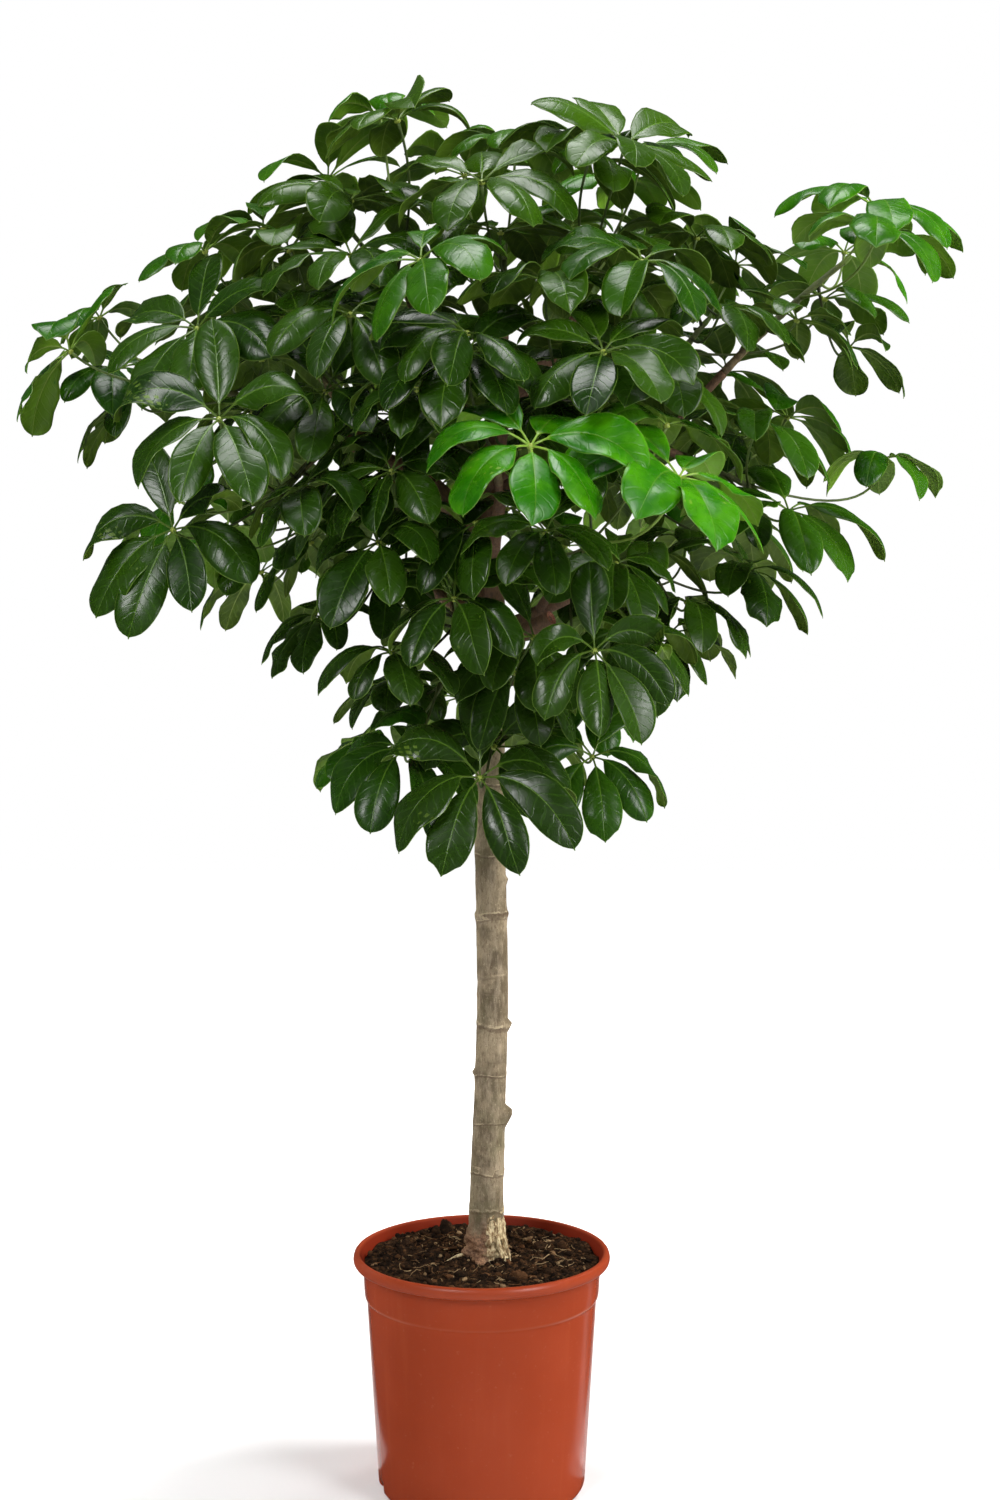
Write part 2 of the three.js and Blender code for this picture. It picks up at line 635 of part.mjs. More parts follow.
// An umbrella and its stalk as one closed solid. The leaflets are one thin star with a hub in its middle, and
// the stalk runs from the hub's underside to its root in the twig.
const STALK_STATIONS = [0.5, 0]; // shares of the stalk's length, below its end at the hub
function umbrellaSolid({ hub, axis, basis, leaflets, stalk }) {
  const count = leaflets.length;
  const points = [];
  const triangles = [];
  const pair = (p, normal, half) => {
    points.push(p.clone().addScaledVector(normal, half), p.clone().addScaledVector(normal, -half));
    return points.length - 2;
  };
  const faces = (a, b, c) => triangles.push(a, b, c, a + 1, c + 1, b + 1);
  const walls = (...edge) => {
    for (let k = 0; k + 1 < edge.length; k++) {
      const [a, b] = [edge[k], edge[k + 1]];
      triangles.push(a, a + 1, b + 1, a, b + 1, b);
    }
  };

  // The hub's corners, one between each two leaflets.
  const angles = leaflets.map(({ turn }, i) => {
    const before = i ? leaflets[i - 1].turn : leaflets[count - 1].turn - 2 * Math.PI;
    return (turn + before) / 2;
  });
  const corners = angles.map((angle) => {
    const corner = hub.clone().addScaledVector(turned(basis, angle), HUB_RADIUS);
    return pair(corner, axis, BLADE_THICK);
  });
  const top = points.push(hub.clone().addScaledVector(axis, HUB_RISE)) - 1;
  leaflets.forEach(({ edges, tip, normal, crosses }, i) => {
    const [right, left] = [corners[i], corners[(i + 1) % count]];
    triangles.push(top, right, left);
    if (crosses) return walls(right, left);
    const [rightEdge, leftEdge, end] = [...edges, tip].map((p) => pair(p, normal, BLADE_THICK / 2));
    faces(right, rightEdge, left);
    faces(left, rightEdge, leftEdge);
    faces(rightEdge, end, leftEdge);
    walls(right, rightEdge, end, leftEdge, left);
  });

  // The stalk's rings, each of whose corners lies below the last one's.
  let [u] = basis;
  let forward = axis;
  let centre = hub.clone().addScaledVector(axis, -HUB_RADIUS);
  const ring = () => {
    const v = forward.clone().cross(u);
    for (let k = 0; k < STALK_SIDES; k++) {
      const outwards = turned([u, v], (2 * Math.PI * k) / STALK_SIDES);
      points.push(centre.clone().addScaledVector(outwards, STALK_RADIUS));
    }
    return points.length - STALK_SIDES;
  };
  let above = ring();
  const nearest = angles.map((angle) => {
    const k = Math.round((angle * STALK_SIDES) / (2 * Math.PI));
    return above + ((k + STALK_SIDES) % STALK_SIDES);
  });
  corners.forEach((right, i) => {
    const [left, a, b] = [corners[(i + 1) % count], nearest[i], nearest[(i + 1) % count]];
    triangles.push(a, left + 1, right + 1);
    if (a !== b) triangles.push(a, b, left + 1);
  });
  for (const t of STALK_STATIONS) {
    const next = stalk(t);
    forward = centre.clone().sub(next).normalize();
    u = u.clone().addScaledVector(forward, -u.dot(forward)).normalize();
    centre = next;
    const below = ring();
    for (let k = 0; k < STALK_SIDES; k++) {
      const m = (k + 1) % STALK_SIDES;
      triangles.push(below + k, below + m, above + m, below + k, above + m, above + k);
    }
    above = below;
  }
  triangles.push(above, above + 2, above + 1);
  return solidOf(geometryOf(points, triangles));
}

// The woody spur that carries a leafy stem, and the direction of its flat end.
function spurOf(stem) {
  const [root, seat] = [stem.curve(0), stem.curve(SPUR_SHARE)];
  return { root, seat, direction: seat.clone().sub(root).normalize() };
}

const TWIG_STATIONS = [0, 0.35, 0.7, 1]; // from its seat on the spur to its tip
const TWIG_TAPER = 0.35;
function leafyStemSolid(stem) {
  const { seat, direction } = spurOf(stem);
  const centres = TWIG_STATIONS.map((s) => stem.curve(SPUR_SHARE + (1 - SPUR_SHARE) * s));
  centres[0] = seat.clone().addScaledVector(direction, SEAT_GAP);
  const radii = TWIG_STATIONS.map((s) => TWIG_RADIUS * (1 - TWIG_TAPER * s));
  const twig = tube(centres, radii, WOOD_SIDES, [direction]);
  return wasm.Manifold.union([twig, ...stem.leaves.map(umbrellaSolid)]);
}

function woodSolid(stems) {
  const limbs = [...Object.values(LIMBS), ...ROOTS].map((path) => pathTube(path, WOOD_SIDES));
  const spurs = stems.map((stem) => {
    const { root, seat, direction } = spurOf(stem);
    return tube([root, seat], [SPUR_RADIUS, SPUR_RADIUS], WOOD_SIDES, [direction, direction]);
  });
  return wasm.Manifold.union([pathTube(MAIN_STEM, STEM_SIDES), ...limbs, ...spurs]);
}

// ---- The pot and its soil --------------------------------------------------------------------------------

// A closed mesh with its shared corners merged, as a solid.
function mergedSolid(geometry) {
  geometry.deleteAttribute("normal");
  geometry.deleteAttribute("uv");
  return solidOf(mergeVertices(geometry, 1e-3));
}

// The wall's outer radius under the ledge, straight from the foot.
const wallRadius = (z) => POT_BASE_RADIUS + ((POT_LEDGE_RADIUS - POT_BASE_RADIUS) * z) / POT_LEDGE_HEIGHT;

// The inside of the pot, from the rim down to the floor, as radius and height.
const BAND_RADIUS = POT_LEDGE_RADIUS + 4.2; // of the wall above the ledge, just under the rim
const INSIDE = [
  [POT_RIM_RADIUS - 7.4, POT_HEIGHT - 2.5],
  [BAND_RADIUS - POT_WALL, POT_HEIGHT - 15],
  [POT_LEDGE_RADIUS - POT_WALL, POT_LEDGE_HEIGHT + 1],
  [wallRadius(18) - POT_WALL, 18],
  [POT_BASE_RADIUS - 14, POT_FLOOR],
];

function potSolid() {
  const rim = POT_RIM_RADIUS;
  const top = POT_HEIGHT;
  const profile = [
    [0, 0],
    [POT_BASE_RADIUS - 6, 0],
    [POT_BASE_RADIUS - 1.5, 2],
    [wallRadius(7), 7],
    [POT_LEDGE_RADIUS, POT_LEDGE_HEIGHT],
    [POT_LEDGE_RADIUS + 2.4, POT_LEDGE_HEIGHT + 4],
    [BAND_RADIUS, top - 12.5],
    [rim - 0.8, top - 10.5],
    [rim, top - 8],
    [rim, top - 5],
    [rim - 1.6, top - 1],
    [rim - 4.4, top],
    ...INSIDE,
    [0, POT_FLOOR],
  ];
  const lathe = new THREE.LatheGeometry(profile.map(([r, z]) => new THREE.Vector2(r, z)), POT_SIDES);
  lathe.rotateX(Math.PI / 2); // the lathe's own axis is Y
  const notches = Array.from({ length: DRAIN_NOTCHES }, (_, k) => {
    const notch = new THREE.BoxGeometry(NOTCH_DEPTH * 2, NOTCH_WIDTH, NOTCH_HEIGHT * 2);
    notch.translate(POT_BASE_RADIUS, 0, 0);
    notch.rotateZ(FIRST_NOTCH + (2 * Math.PI * k) / DRAIN_NOTCHES);
    return mergedSolid(notch);
  });
  return mergedSolid(lathe).subtract(wasm.Manifold.union(notches));
}

// The height of the soil's lumpy top.
function soilTop(x, y) {
  const lumps = 0.6 * Math.sin(x * 0.11 + 1.3) * Math.cos(y * 0.13) + 0.4 * Math.sin(x * 0.05 - y * 0.07);
  return SOIL_HEIGHT + SOIL_LUMP * lumps;
}

// The soil fills the pot to just under its rim, and the stem and roots stand in a plain hole in it.
const SOIL_RINGS = [104, 74, 44]; // radii of its lumpy top's rings
function soilSolid() {
  const floor = POT_FLOOR + SEAT_GAP;
  const points = [];
  const triangles = [];
  const ring = (radius, height) => {
    for (let k = 0; k < POT_SIDES; k++) {
      const angle = (2 * Math.PI * k) / POT_SIDES;
      const [x, y] = [radius * Math.sin(angle), radius * Math.cos(angle)];
      points.push(new THREE.Vector3(x, y, height ?? soilTop(x, y)));
    }
  };
  const [lip, band, ...below] = INSIDE;
  const edge = SOIL_HEIGHT - 1;
  const edgeRadius = THREE.MathUtils.mapLinear(edge, band[1], lip[1], band[0], lip[0]);
  for (const [radius, height] of [...below.reverse(), band]) ring(radius - SOIL_CLEAR, Math.max(height, floor));
  ring(edgeRadius - SOIL_CLEAR, edge);
  for (const radius of SOIL_RINGS) ring(radius);
  const rings = points.length / POT_SIDES;
  const centreTop = points.push(new THREE.Vector3(0, 0, SOIL_HEIGHT)) - 1;
  const centreBase = points.push(new THREE.Vector3(0, 0, floor)) - 1;
  for (let k = 0; k < POT_SIDES; k++) {
    const next = (k + 1) % POT_SIDES;
    triangles.push(centreBase, k, next);
    for (let i = 0; i + 1 < rings; i++) {
      const [a, b] = [i * POT_SIDES + k, i * POT_SIDES + next];
      triangles.push(a, b + POT_SIDES, b, a, a + POT_SIDES, b + POT_SIDES);
    }
    const last = (rings - 1) * POT_SIDES;
    triangles.push(last + k, centreTop, last + next);
  }
  const hole = [pathTube(MAIN_STEM, STEM_SIDES, SOIL_CLEAR)];
  for (const root of ROOTS) hole.push(pathTube(root, WOOD_SIDES, SOIL_CLEAR));
  return solidOf(geometryOf(points, triangles)).subtract(wasm.Manifold.union(hole));
}

// ---- The whole plant -------------------------------------------------------------------------------------

const POT_PLASTIC = new THREE.MeshStandardMaterial({ color: 0xa8452a, roughness: 0.42, metalness: 0 });
const SOIL = new THREE.MeshStandardMaterial({ color: 0x2e211a, roughness: 0.95, metalness: 0 });
const BARK = new THREE.MeshStandardMaterial({ color: 0x8d7c62, roughness: 0.85, metalness: 0 });
const LEAF_GREEN = new THREE.MeshStandardMaterial({ color: 0x235c1f, roughness: 0.35, metalness: 0 });

const plant = new THREE.Group();
plant.name = "potted_umbrella_plant";

function addNode(name, solid, material) {
  const mesh = new THREE.Mesh(geometryFrom(solid), material);
  mesh.name = name;
  plant.add(mesh);
}

const stems = planTree();
addNode("pot", potSolid(), POT_PLASTIC);
addNode("soil", soilSolid(), SOIL);
addNode("woody_stem", woodSolid(stems), BARK);
for (const stem of stems) addNode(`leafy_stem_${stem.name}`, leafyStemSolid(stem), LEAF_GREEN);

export default plant;
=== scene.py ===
"""An umbrella plant grown as a small tree in a plastic nursery pot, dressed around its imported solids.

Plans are in millimetres, as in the part's source, and meshes are made in metres, in the same frame.
"""

import math

import bpy
import numpy as np
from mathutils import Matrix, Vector, noise


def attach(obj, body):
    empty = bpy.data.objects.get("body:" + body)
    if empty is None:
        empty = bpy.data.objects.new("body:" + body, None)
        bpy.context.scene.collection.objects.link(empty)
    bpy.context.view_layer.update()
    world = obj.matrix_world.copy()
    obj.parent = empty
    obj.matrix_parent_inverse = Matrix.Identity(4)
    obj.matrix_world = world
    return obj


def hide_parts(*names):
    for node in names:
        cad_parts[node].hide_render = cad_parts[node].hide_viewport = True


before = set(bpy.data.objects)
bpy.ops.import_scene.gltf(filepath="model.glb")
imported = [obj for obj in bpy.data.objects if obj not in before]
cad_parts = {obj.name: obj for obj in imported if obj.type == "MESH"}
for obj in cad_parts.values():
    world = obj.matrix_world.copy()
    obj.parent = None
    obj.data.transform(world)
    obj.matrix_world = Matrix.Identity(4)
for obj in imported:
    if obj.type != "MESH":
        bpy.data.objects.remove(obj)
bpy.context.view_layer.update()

MM = 0.001  # a millimetre in metres

# ---- The tree's plan, as in the part's source ----

POT_HEIGHT = 247.5
POT_RIM_RADIUS = 136.3
POT_BASE_RADIUS = 109.0
POT_LEDGE_RADIUS = 122.0
POT_LEDGE_HEIGHT = 199.5
POT_WALL = 2.2
POT_FLOOR = 4.0
DRAIN_NOTCHES = 2
FIRST_NOTCH = math.radians(195)
NOTCH_WIDTH, NOTCH_HEIGHT, NOTCH_DEPTH = 26.0, 13.0, 5.0
SOIL_HEIGHT = 241.0
SOIL_LUMP = 3.5
SOIL_CLEAR = 0.5

TWIG_RADIUS = 4.2
SPUR_RADIUS = TWIG_RADIUS + 0.4
SPUR_SHARE = 0.3
TWIG_BOW = 0.08
TOP_LEAF = 0.97
LEAF_SPACING = 0.11
STALK_PULL = 0.42
REACH = 112.0
BLADE_WIDTH = 0.385
LEAFLETS, FEW_LEAFLETS, SMALL_UMBRELLA = 7, 6, 0.8
DRAWS_PER_LEAFLET = 5
REACH_SHARE = 0.93
LOW_CROWN = dict(z=780.0, lift=0.3, droop=2.6)
TOP_CROWN = dict(z=1450.0, lift=0.42, droop=1.5)
WANDER = dict(spin=0.4, droop=0.35, turn=0.11, lift=0.18, sag=0.4, roll=0.26, reach=0.1)
GOLDEN_ANGLE = math.pi * (3 - math.sqrt(5))

MAIN_STEM = [
    [6, 0, 110, 12], [6, 0, 200, 16], [5, 0, 233, 24], [5, 0, 247, 22], [5, 0, 269, 19.2], [5, 0, 303, 18],
    [8.5, 0, 406, 17], [11.5, 0, 513, 16.6], [10, 0, 619, 16.4], [8, 0, 700, 15.8], [9, 0, 780, 15.4],
    [13, 0, 880, 14.6], [9, 0, 950, 14], [2, 0, 1000, 13.2], [8, 1, 1060, 11.6], [18, 0, 1120, 10.2],
    [20, -5, 1180, 8.6], [22, -10, 1232, 6.2],
]
LIMBS = {
    "left_high": [[2, 0, 1000, 10.5], [-55, -8, 1062, 9.6], [-115, -12, 1092, 8.4], [-185, -15, 1128, 6.2]],
    "right_high": [[8, 1, 1045, 9.8], [70, -8, 1078, 9], [140, -12, 1092, 8], [200, -12, 1115, 6.4]],
    "top_left": [[14, 1, 1090, 8.2], [-25, 5, 1150, 7.4], [-60, 5, 1205, 6]],
    "top_right": [[18, 0, 1130, 8], [60, -8, 1180, 7.2], [90, -12, 1215, 6]],
    "front": [[8, 0, 965, 8], [14, -55, 1000, 7.2], [20, -105, 1030, 6]],
    "back": [[8, 1, 1020, 9], [10, 80, 1065, 8], [15, 150, 1110, 6.2]],
    "back_left": [[4, 1, 1010, 8], [-60, 70, 1060, 7.2], [-120, 130, 1110, 6]],
    "back_right": [[11, 0, 1070, 8], [75, 65, 1110, 7.2], [140, 120, 1150, 6]],
    "low_right": [[13, 0, 905, 7.8], [60, -15, 925, 7], [105, -30, 945, 6]],
    "low_left": [[12, 0, 915, 7.6], [-30, -5, 935, 6.8], [-60, -8, 955, 6]],
    "low_back": [[12, 1, 900, 7.4], [10, 60, 925, 6.6], [5, 100, 945, 6]],
    "pruned_stub": [[13, 0, 886, 9.5], [45, -25, 903, 8.6], [72, -43, 916, 8]],
}
ROOTS = [
    [[2, -4, 242, 9], [-18, -12, 241, 5], [-34, -17, 238, 2.4]],
    [[8, -6, 242, 8], [20, -20, 239, 4], [26, -30, 236, 2]],
    [[8, 4, 242, 8], [26, 10, 240, 4.4], [38, 16, 237, 2.2]],
    [[2, 5, 242, 8], [-16, 18, 240, 4], [-24, 27, 236, 2]],
]

# Leafy stems: where each leaves the wood, where its growing tip is, and its umbrellas as hub x, y, z, size
# and, where given, the way they face. A number in their place is how many grow there by rule.
LEAFY_STEMS = {
    "crest_left": ([-60, 5, 1205], [-92, 4, 1296], [
        [-110, 22, 1462, 0.82], [-132, -82, 1338, 1.06, 0.25, -0.3, 1], [-166, 20, 1410, 0.95],
        [-126, -150, 1262, 1.05, -0.2, -0.7, 0.7]]),
    "crest_centre": ([22, -10, 1232], [24, -18, 1300], [
        [2, -196, 1318, 1.08, -0.1, -0.35, 1], [36, -28, 1412, 0.92], [20, -112, 1296, 1],
        [-20, 60, 1396, 0.9]]),
    "crest_right": ([90, -12, 1215], [118, -14, 1288], [
        [166, -42, 1396, 1.04, 0.1, -0.2, 1], [92, -122, 1356, 0.98], [158, 88, 1413, 0.95, 0, 0, 1],
        [140, -168, 1346, 1, 0.3, -0.4, 0.9], [104, 42, 1336, 0.95]]),
    "far_right": ([200, -12, 1115], [384, -8, 1296], [
        [410, -40, 1345, 1.12, 0.15, -0.3, 1], [409, 88, 1342, 0.95, 0.15, 0.1, 1],
        [393, -124, 1291, 1, 0.25, -0.2, 1]]),
    "upper_right": ([140, -12, 1092], [234, -30, 1226], [
        [222, -62, 1306, 1], [238, -132, 1214, 1], [370, 24, 1282, 0.92, 0.3, -0.1, 1],
        [284, 98, 1340, 0.95]]),
    "front_upper_right": ([70, -8, 1078], [104, -128, 1126], [
        [150, -246, 1228, 1.05, 0.1, -0.45, 0.9], [112, -284, 1136, 0.92, 0, -0.7, 0.7],
        [168, -196, 1158, 0.98, 0.4, -0.6, 0.7], [62, -200, 1216, 0.95, 0, -0.5, 0.9]]),
    "right_side": ([170, -12, 1103], [288, -6, 1056], [
        [280, -92, 1106, 1], [439, 52, 1098, 0.85, 0.1, -0.1, 1], [320, -42, 1028, 1.15, 0.25, -0.45, 0.9],
        [340, 84, 1150, 0.95]]),
    "right_low": ([105, -30, 945], [184, -48, 962], [
        [284, 0, 970, 1, 0.3, -0.3, 0.9], [150, -150, 890, 0.9, 0.2, -0.6, 0.7],
        [202, 8, 904, 0.88, 0.25, -0.5, 0.8], [230, 60, 1010, 0.9]]),
    "front_centre": ([20, -105, 1030], [14, -184, 1062], [
        [46, -326, 1044, 1.08, 0.05, -0.62, 0.75], [-12, -262, 1140, 1, 0, -0.7, 0.7],
        [-58, -262, 1112, 0.85, -0.3, -0.6, 0.7]]),
    "front_right": ([60, -15, 925], [112, -142, 986], [
        [179, -292, 1022, 1.08, 0.25, -0.45, 0.9], [62, -214, 984, 0.84, 0, -0.6, 0.7],
        [176, -214, 1084, 0.95, 0.3, -0.6, 0.8], [108, -196, 872, 0.9, 0.2, -0.8, 0.4]]),
    "upper_left": ([-115, -12, 1092], [-222, 14, 1238], [
        [-238, 32, 1360, 0.95], [-284, -62, 1292, 0.86], [-286, 92, 1284, 0.9], [-196, -72, 1290, 0.9]]),
    "far_left": ([-185, -15, 1128], [-312, -16, 1164], [
        [-417, 40, 1250, 0.62], [-424, -58, 1190, 0.9, -0.7, -0.1, 0.6],
        [-276, -152, 1190, 1.08, -0.25, -0.75, 0.5], [-236, 12, 1214, 0.95],
        [-394, -20, 1185, 0.9, -0.1, -0.4, 0.8]]),
    "left_front": ([-150, -14, 1110], [-204, -92, 1034], [
        [-241, -232, 1086, 1.1, -0.2, -0.86, 0.45], [-294, -180, 990, 1.05, -0.2, -0.9, 0.32],
        [-150, -186, 1126, 1, -0.1, -0.7, 0.7], [-310, -60, 1036, 0.95, -0.7, -0.2, 0.6]]),
    "left_low": ([-60, -8, 955], [-108, -4, 968], [
        [-164, -62, 916, 0.84, -0.4, -0.4, 0.7], [-186, 34, 1004, 0.95, -0.6, 0.1, 0.7],
        [-124, -104, 1040, 0.92, -0.3, -0.5, 0.8]]),
    "front_low": ([-30, -5, 935], [-24, -98, 900], [
        [-24, -204, 922, 0.95, -0.1, -0.7, 0.6], [-86, -150, 874, 0.85, -0.1, -0.4, 1],
        [-4, -228, 990, 0.92, -0.1, -0.75, 0.5], [-96, -176, 976, 0.95, -0.3, -0.7, 0.6]]),
    "bottom_left": ([13, 0, 868], [-44, -38, 852], [
        [-76, -112, 778, 1.04, 0, -0.5, 0.8], [-124, -20, 790, 0.8, -0.45, -0.3, 0.9],
        [-97, 40, 850, 0.85, 0, -0.2, 1]]),
    "bottom_front": ([11, 0, 815], [16, -62, 806], [
        [0, -172, 752, 1.16, 0, -0.75, 0.6], [34, -124, 856, 0.92, 0.1, -0.6, 0.7]]),
    "bottom_right": ([13, 0, 850], [72, -34, 846], [
        [114, -72, 772, 1, 0.15, -0.65, 0.6], [48, -56, 786, 0.85, 0.1, -0.3, 1],
        [118, 10, 842, 0.85, 0.2, -0.6, 0.7]]),
    "front_left": ([-55, -8, 1062], [-76, -100, 1112], [
        [-84, -192, 1044, 0.9, -0.2, -0.8, 0.5], [-52, -240, 1212, 1, -0.1, -0.55, 0.8],
        [-122, -206, 1190, 1.02, -0.2, -0.6, 0.7], [-180, -126, 1206, 0.95, -0.4, -0.4, 0.8]]),
    "back_top": ([20, -5, 1180], [30, 92, 1270], 3),
    "back_top_left": ([-120, 130, 1110], [-166, 188, 1216], 3),
    "back_top_right": ([140, 120, 1150], [196, 176, 1248], 3),
    "back_high": ([15, 150, 1110], [18, 226, 1192], 3),
    "back_left_side": ([-90, 100, 1085], [-202, 146, 1040], 3),
    "back_middle": ([10, 80, 1065], [4, 206, 1016], 3),
    "back_right_side": ([75, 65, 1110], [196, 150, 1062], 3),
    "back_low": ([5, 100, 945], [8, 158, 890], 3),
}

# How fresh and bright a leaf is, from 0 to 1, by stem and leaf: partly young leaves, and partly painted light on
# leaves at the top and sides of the crown that light shines through. The others are deep green.
FRESH_AND_LIT = {
    "front_centre": {0: 0.95}, "front_right": {0: 1.0, 2: 0.3}, "crest_right": {0: 0.2, 2: 0.55, 4: 0.35},
    "far_right": {0: 0.65, 1: 0.55, 2: 0.5}, "right_side": {0: 0.15, 1: 0.3, 2: 0.15, 3: 0.35},
    "upper_right": {2: 0.2, 3: 0.3}, "crest_left": {0: 0.5, 2: 0.4}, "crest_centre": {1: 0.25, 3: 0.35},
    "far_left": {0: 0.4, 1: 0.45, 4: 0.2}, "front_upper_right": {0: 0.15}, "upper_left": {0: 0.3, 1: 0.35},
    "bottom_left": {0: 0.1, 1: 0.3}, "bottom_right": {0: 0.15, 2: 0.25}, "front_left": {1: 0.35},
    "left_front": {3: 0.4}, "back_top": {1: 0.6}, "back_middle": {0: 0.5}, "back_left_side": {2: 0.5},
    "back_right_side": {1: 0.55}, "back_high": {2: 0.35},
}

# ---- Where every leaf goes, by the same search as in the part's source ----

UP = np.array([0.0, 0.0, 1.0])
CUBE = 4
SPACE_CORNER = np.array([-620.3, -520.3, 80.3])
SPACE_CUBES = (310, 260, 360)
WOOD = 255
CLEARANCE = 7
SAMPLE_STEP = 9
WOOD_STEP = 8
TWIG_STEPS = 16
STALK_STEPS = 24
LINE_STEPS = 10
WIDEST = 6
ROWS_TO_WIDEST, ROWS_TO_TIP = 7, 5
SHIFTS = [[0, 0, 0], [0, -22, 0], [0, 22, 0], [0, 0, 16], [0, 0, -16], [16, 0, 8], [-16, 0, 8], [0, -44, 6],
          [0, 44, 6]]
TILTS = [[0, 0], [0.22, 0], [-0.22, 0], [0, 0.22], [0, -0.22]]
TURNS = [0, 0.33, 0.67]
OUTWARD_LEAN = 0.7 / 450
GROWN_SPREAD = dict(out=62, out_wander=26, side=98, up=78, rise=22, size=0.96, size_wander=0.08)
GROWN_SEED = 5000

blade_cubes = np.zeros(SPACE_CUBES[0] * SPACE_CUBES[1] * SPACE_CUBES[2], np.uint8)
stalk_cubes = np.zeros_like(blade_cubes)


def unit(v):
    return v / np.sqrt((v * v).sum(-1, keepdims=True))


def draws(seed):
    """A repeatable stream of draws from -1 to 1, the same as in the part's source."""
    state = (seed * 7919 + 104729) % 4294967296
    first = True
    while True:
        state = (state * 1664525 + 1013904223) % 4294967296
        if not first:
            yield state / 2147483648 - 1
        first = False


def bend(a, b, c, t):
    """A point of the quadratic curve from a to c that b pulls."""
    ab, bc = a + (b - a) * t, b + (c - b) * t
    return ab + (bc - ab) * t


def cubes_of(points):
    """The number of the cube that each point is in."""
    x, y, z = np.moveaxis(np.floor((points - SPACE_CORNER) / CUBE).astype(np.int64), -1, 0)
    return (x * SPACE_CUBES[1] + y) * SPACE_CUBES[2] + z


def take(cubes, points, radius, stem):
    """Takes the cubes within a radius of each point, and leaves those that another stem has already."""
    n = int(radius // CUBE)
    steps = np.stack(np.meshgrid(*[np.arange(-n, n + 1)] * 3, indexing="ij"), -1).reshape(-1, 3)
    steps = steps[CUBE * np.sqrt((steps**2).sum(1)) <= radius]
    offsets = (steps[:, 0] * SPACE_CUBES[1] + steps[:, 1]) * SPACE_CUBES[2] + steps[:, 2]
    index = (cubes_of(np.atleast_2d(points))[:, None] + offsets).ravel()
    cubes[index[cubes[index] == 0]] = stem


def basis_of(axis):
    """Two directions across an axis, at right angles to each other."""
    ref = UP if abs(axis[2]) < 0.9 else np.array([0.0, -1.0, 0.0])
    u = unit(ref - axis * (ref @ axis))
    return u, np.cross(axis, u)


SAG_SHARES = (np.arange(LINE_STEPS + 1) / LINE_STEPS) ** 1.2


def leaflet_lines(hub, axis, radial, lift, sag, roll, reach):
    """Points, side vectors and face normals along each leaflet of an umbrella, from its hub to its tip."""
    start = radial * np.cos(lift)[:, None] + axis * np.sin(lift)[:, None]
    level = np.sqrt(np.maximum(0, 1 - start[:, 2] ** 2))
    side0 = np.cross(axis, radial) * np.cos(roll)[:, None] + axis * np.sin(roll)[:, None]
    d = unit(start[:, None] - UP * (sag * level)[:, None, None] * SAG_SHARES[None, :, None])
    side = unit(side0[:, None] - d * (side0[:, None] * d).sum(-1, keepdims=True))
    p = np.empty_like(d)
    p[:, 0] = hub
    for i in range(LINE_STEPS):
        p[:, i + 1] = p[:, i] + d[:, i] * (reach / LINE_STEPS)[:, None]
    return p, side, np.cross(d, side)


def umbrella(spec, shift, tilt, phase):
    """The umbrella that a plan row asks for, turned, tilted and shifted by one trial."""
    hub = spec["hub"] + shift
    axis = unit(spec["axis"] + np.array([*tilt, 0.0]))
    u, v = basis_of(axis)
    height = min(1.0, max(0.0, (hub[2] - LOW_CROWN["z"]) / (TOP_CROWN["z"] - LOW_CROWN["z"])))
    lift = LOW_CROWN["lift"] + (TOP_CROWN["lift"] - LOW_CROWN["lift"]) * height
    n = spec["count"]
    spin, droop, each = spec["drawn"]
    droop = LOW_CROWN["droop"] + (TOP_CROWN["droop"] - LOW_CROWN["droop"]) * height + WANDER["droop"] * droop
    turn = 2 * math.pi * (np.arange(n) + phase) / n + WANDER["spin"] * spin + WANDER["turn"] * each[:, 0]
    radial = u * np.cos(turn)[:, None] + v * np.sin(turn)[:, None]
    reach = spec["reach"] * (REACH_SHARE + WANDER["reach"] * each[:, 4])
    p, side, normal = leaflet_lines(
        hub, axis, radial, lift + WANDER["lift"] * each[:, 1], droop + WANDER["sag"] * each[:, 2],
        WANDER["roll"] * each[:, 3], reach)
    half = (BLADE_WIDTH * reach / 2)[:, None]
    right, left = p[:, WIDEST] - side[:, WIDEST] * half, p[:, WIDEST] + side[:, WIDEST] * half
    pull = hub - axis * (STALK_PULL * np.linalg.norm(spec["root"] - hub))
    return dict(hub=hub, axis=axis, turn=turn, p=p, side=side, normal=normal, reach=reach, right=right,
                left=left, tip=p[:, LINE_STEPS], root=spec["root"], pull=pull)


TO_WIDEST = (np.arange(2, ROWS_TO_WIDEST + 1) / ROWS_TO_WIDEST)[None, :, None]
TO_TIP = (np.arange(1, ROWS_TO_TIP + 1) / ROWS_TO_TIP)[None, :, None]
MOST_SAMPLES = 9


def samples(leaf):
    """Points all over each leaflet, and which of them are real: leaflet, row, place in the row."""
    hub, right, left, tip = leaf["hub"], leaf["right"][:, None], leaf["left"][:, None], leaf["tip"][:, None]
    a = np.concatenate([hub + (right - hub) * TO_WIDEST, right + (tip - right) * TO_TIP], 1)
    b = np.concatenate([hub + (left - hub) * TO_WIDEST, left + (tip - left) * TO_TIP], 1)
    steps = np.maximum(1, np.ceil(np.linalg.norm(b - a, axis=2) / SAMPLE_STEP))
    k = np.arange(MOST_SAMPLES)[None, None, :]
    points = a[:, :, None] + (b - a)[:, :, None] * (k / steps[:, :, None])[..., None]
    return points, k <= steps[:, :, None]


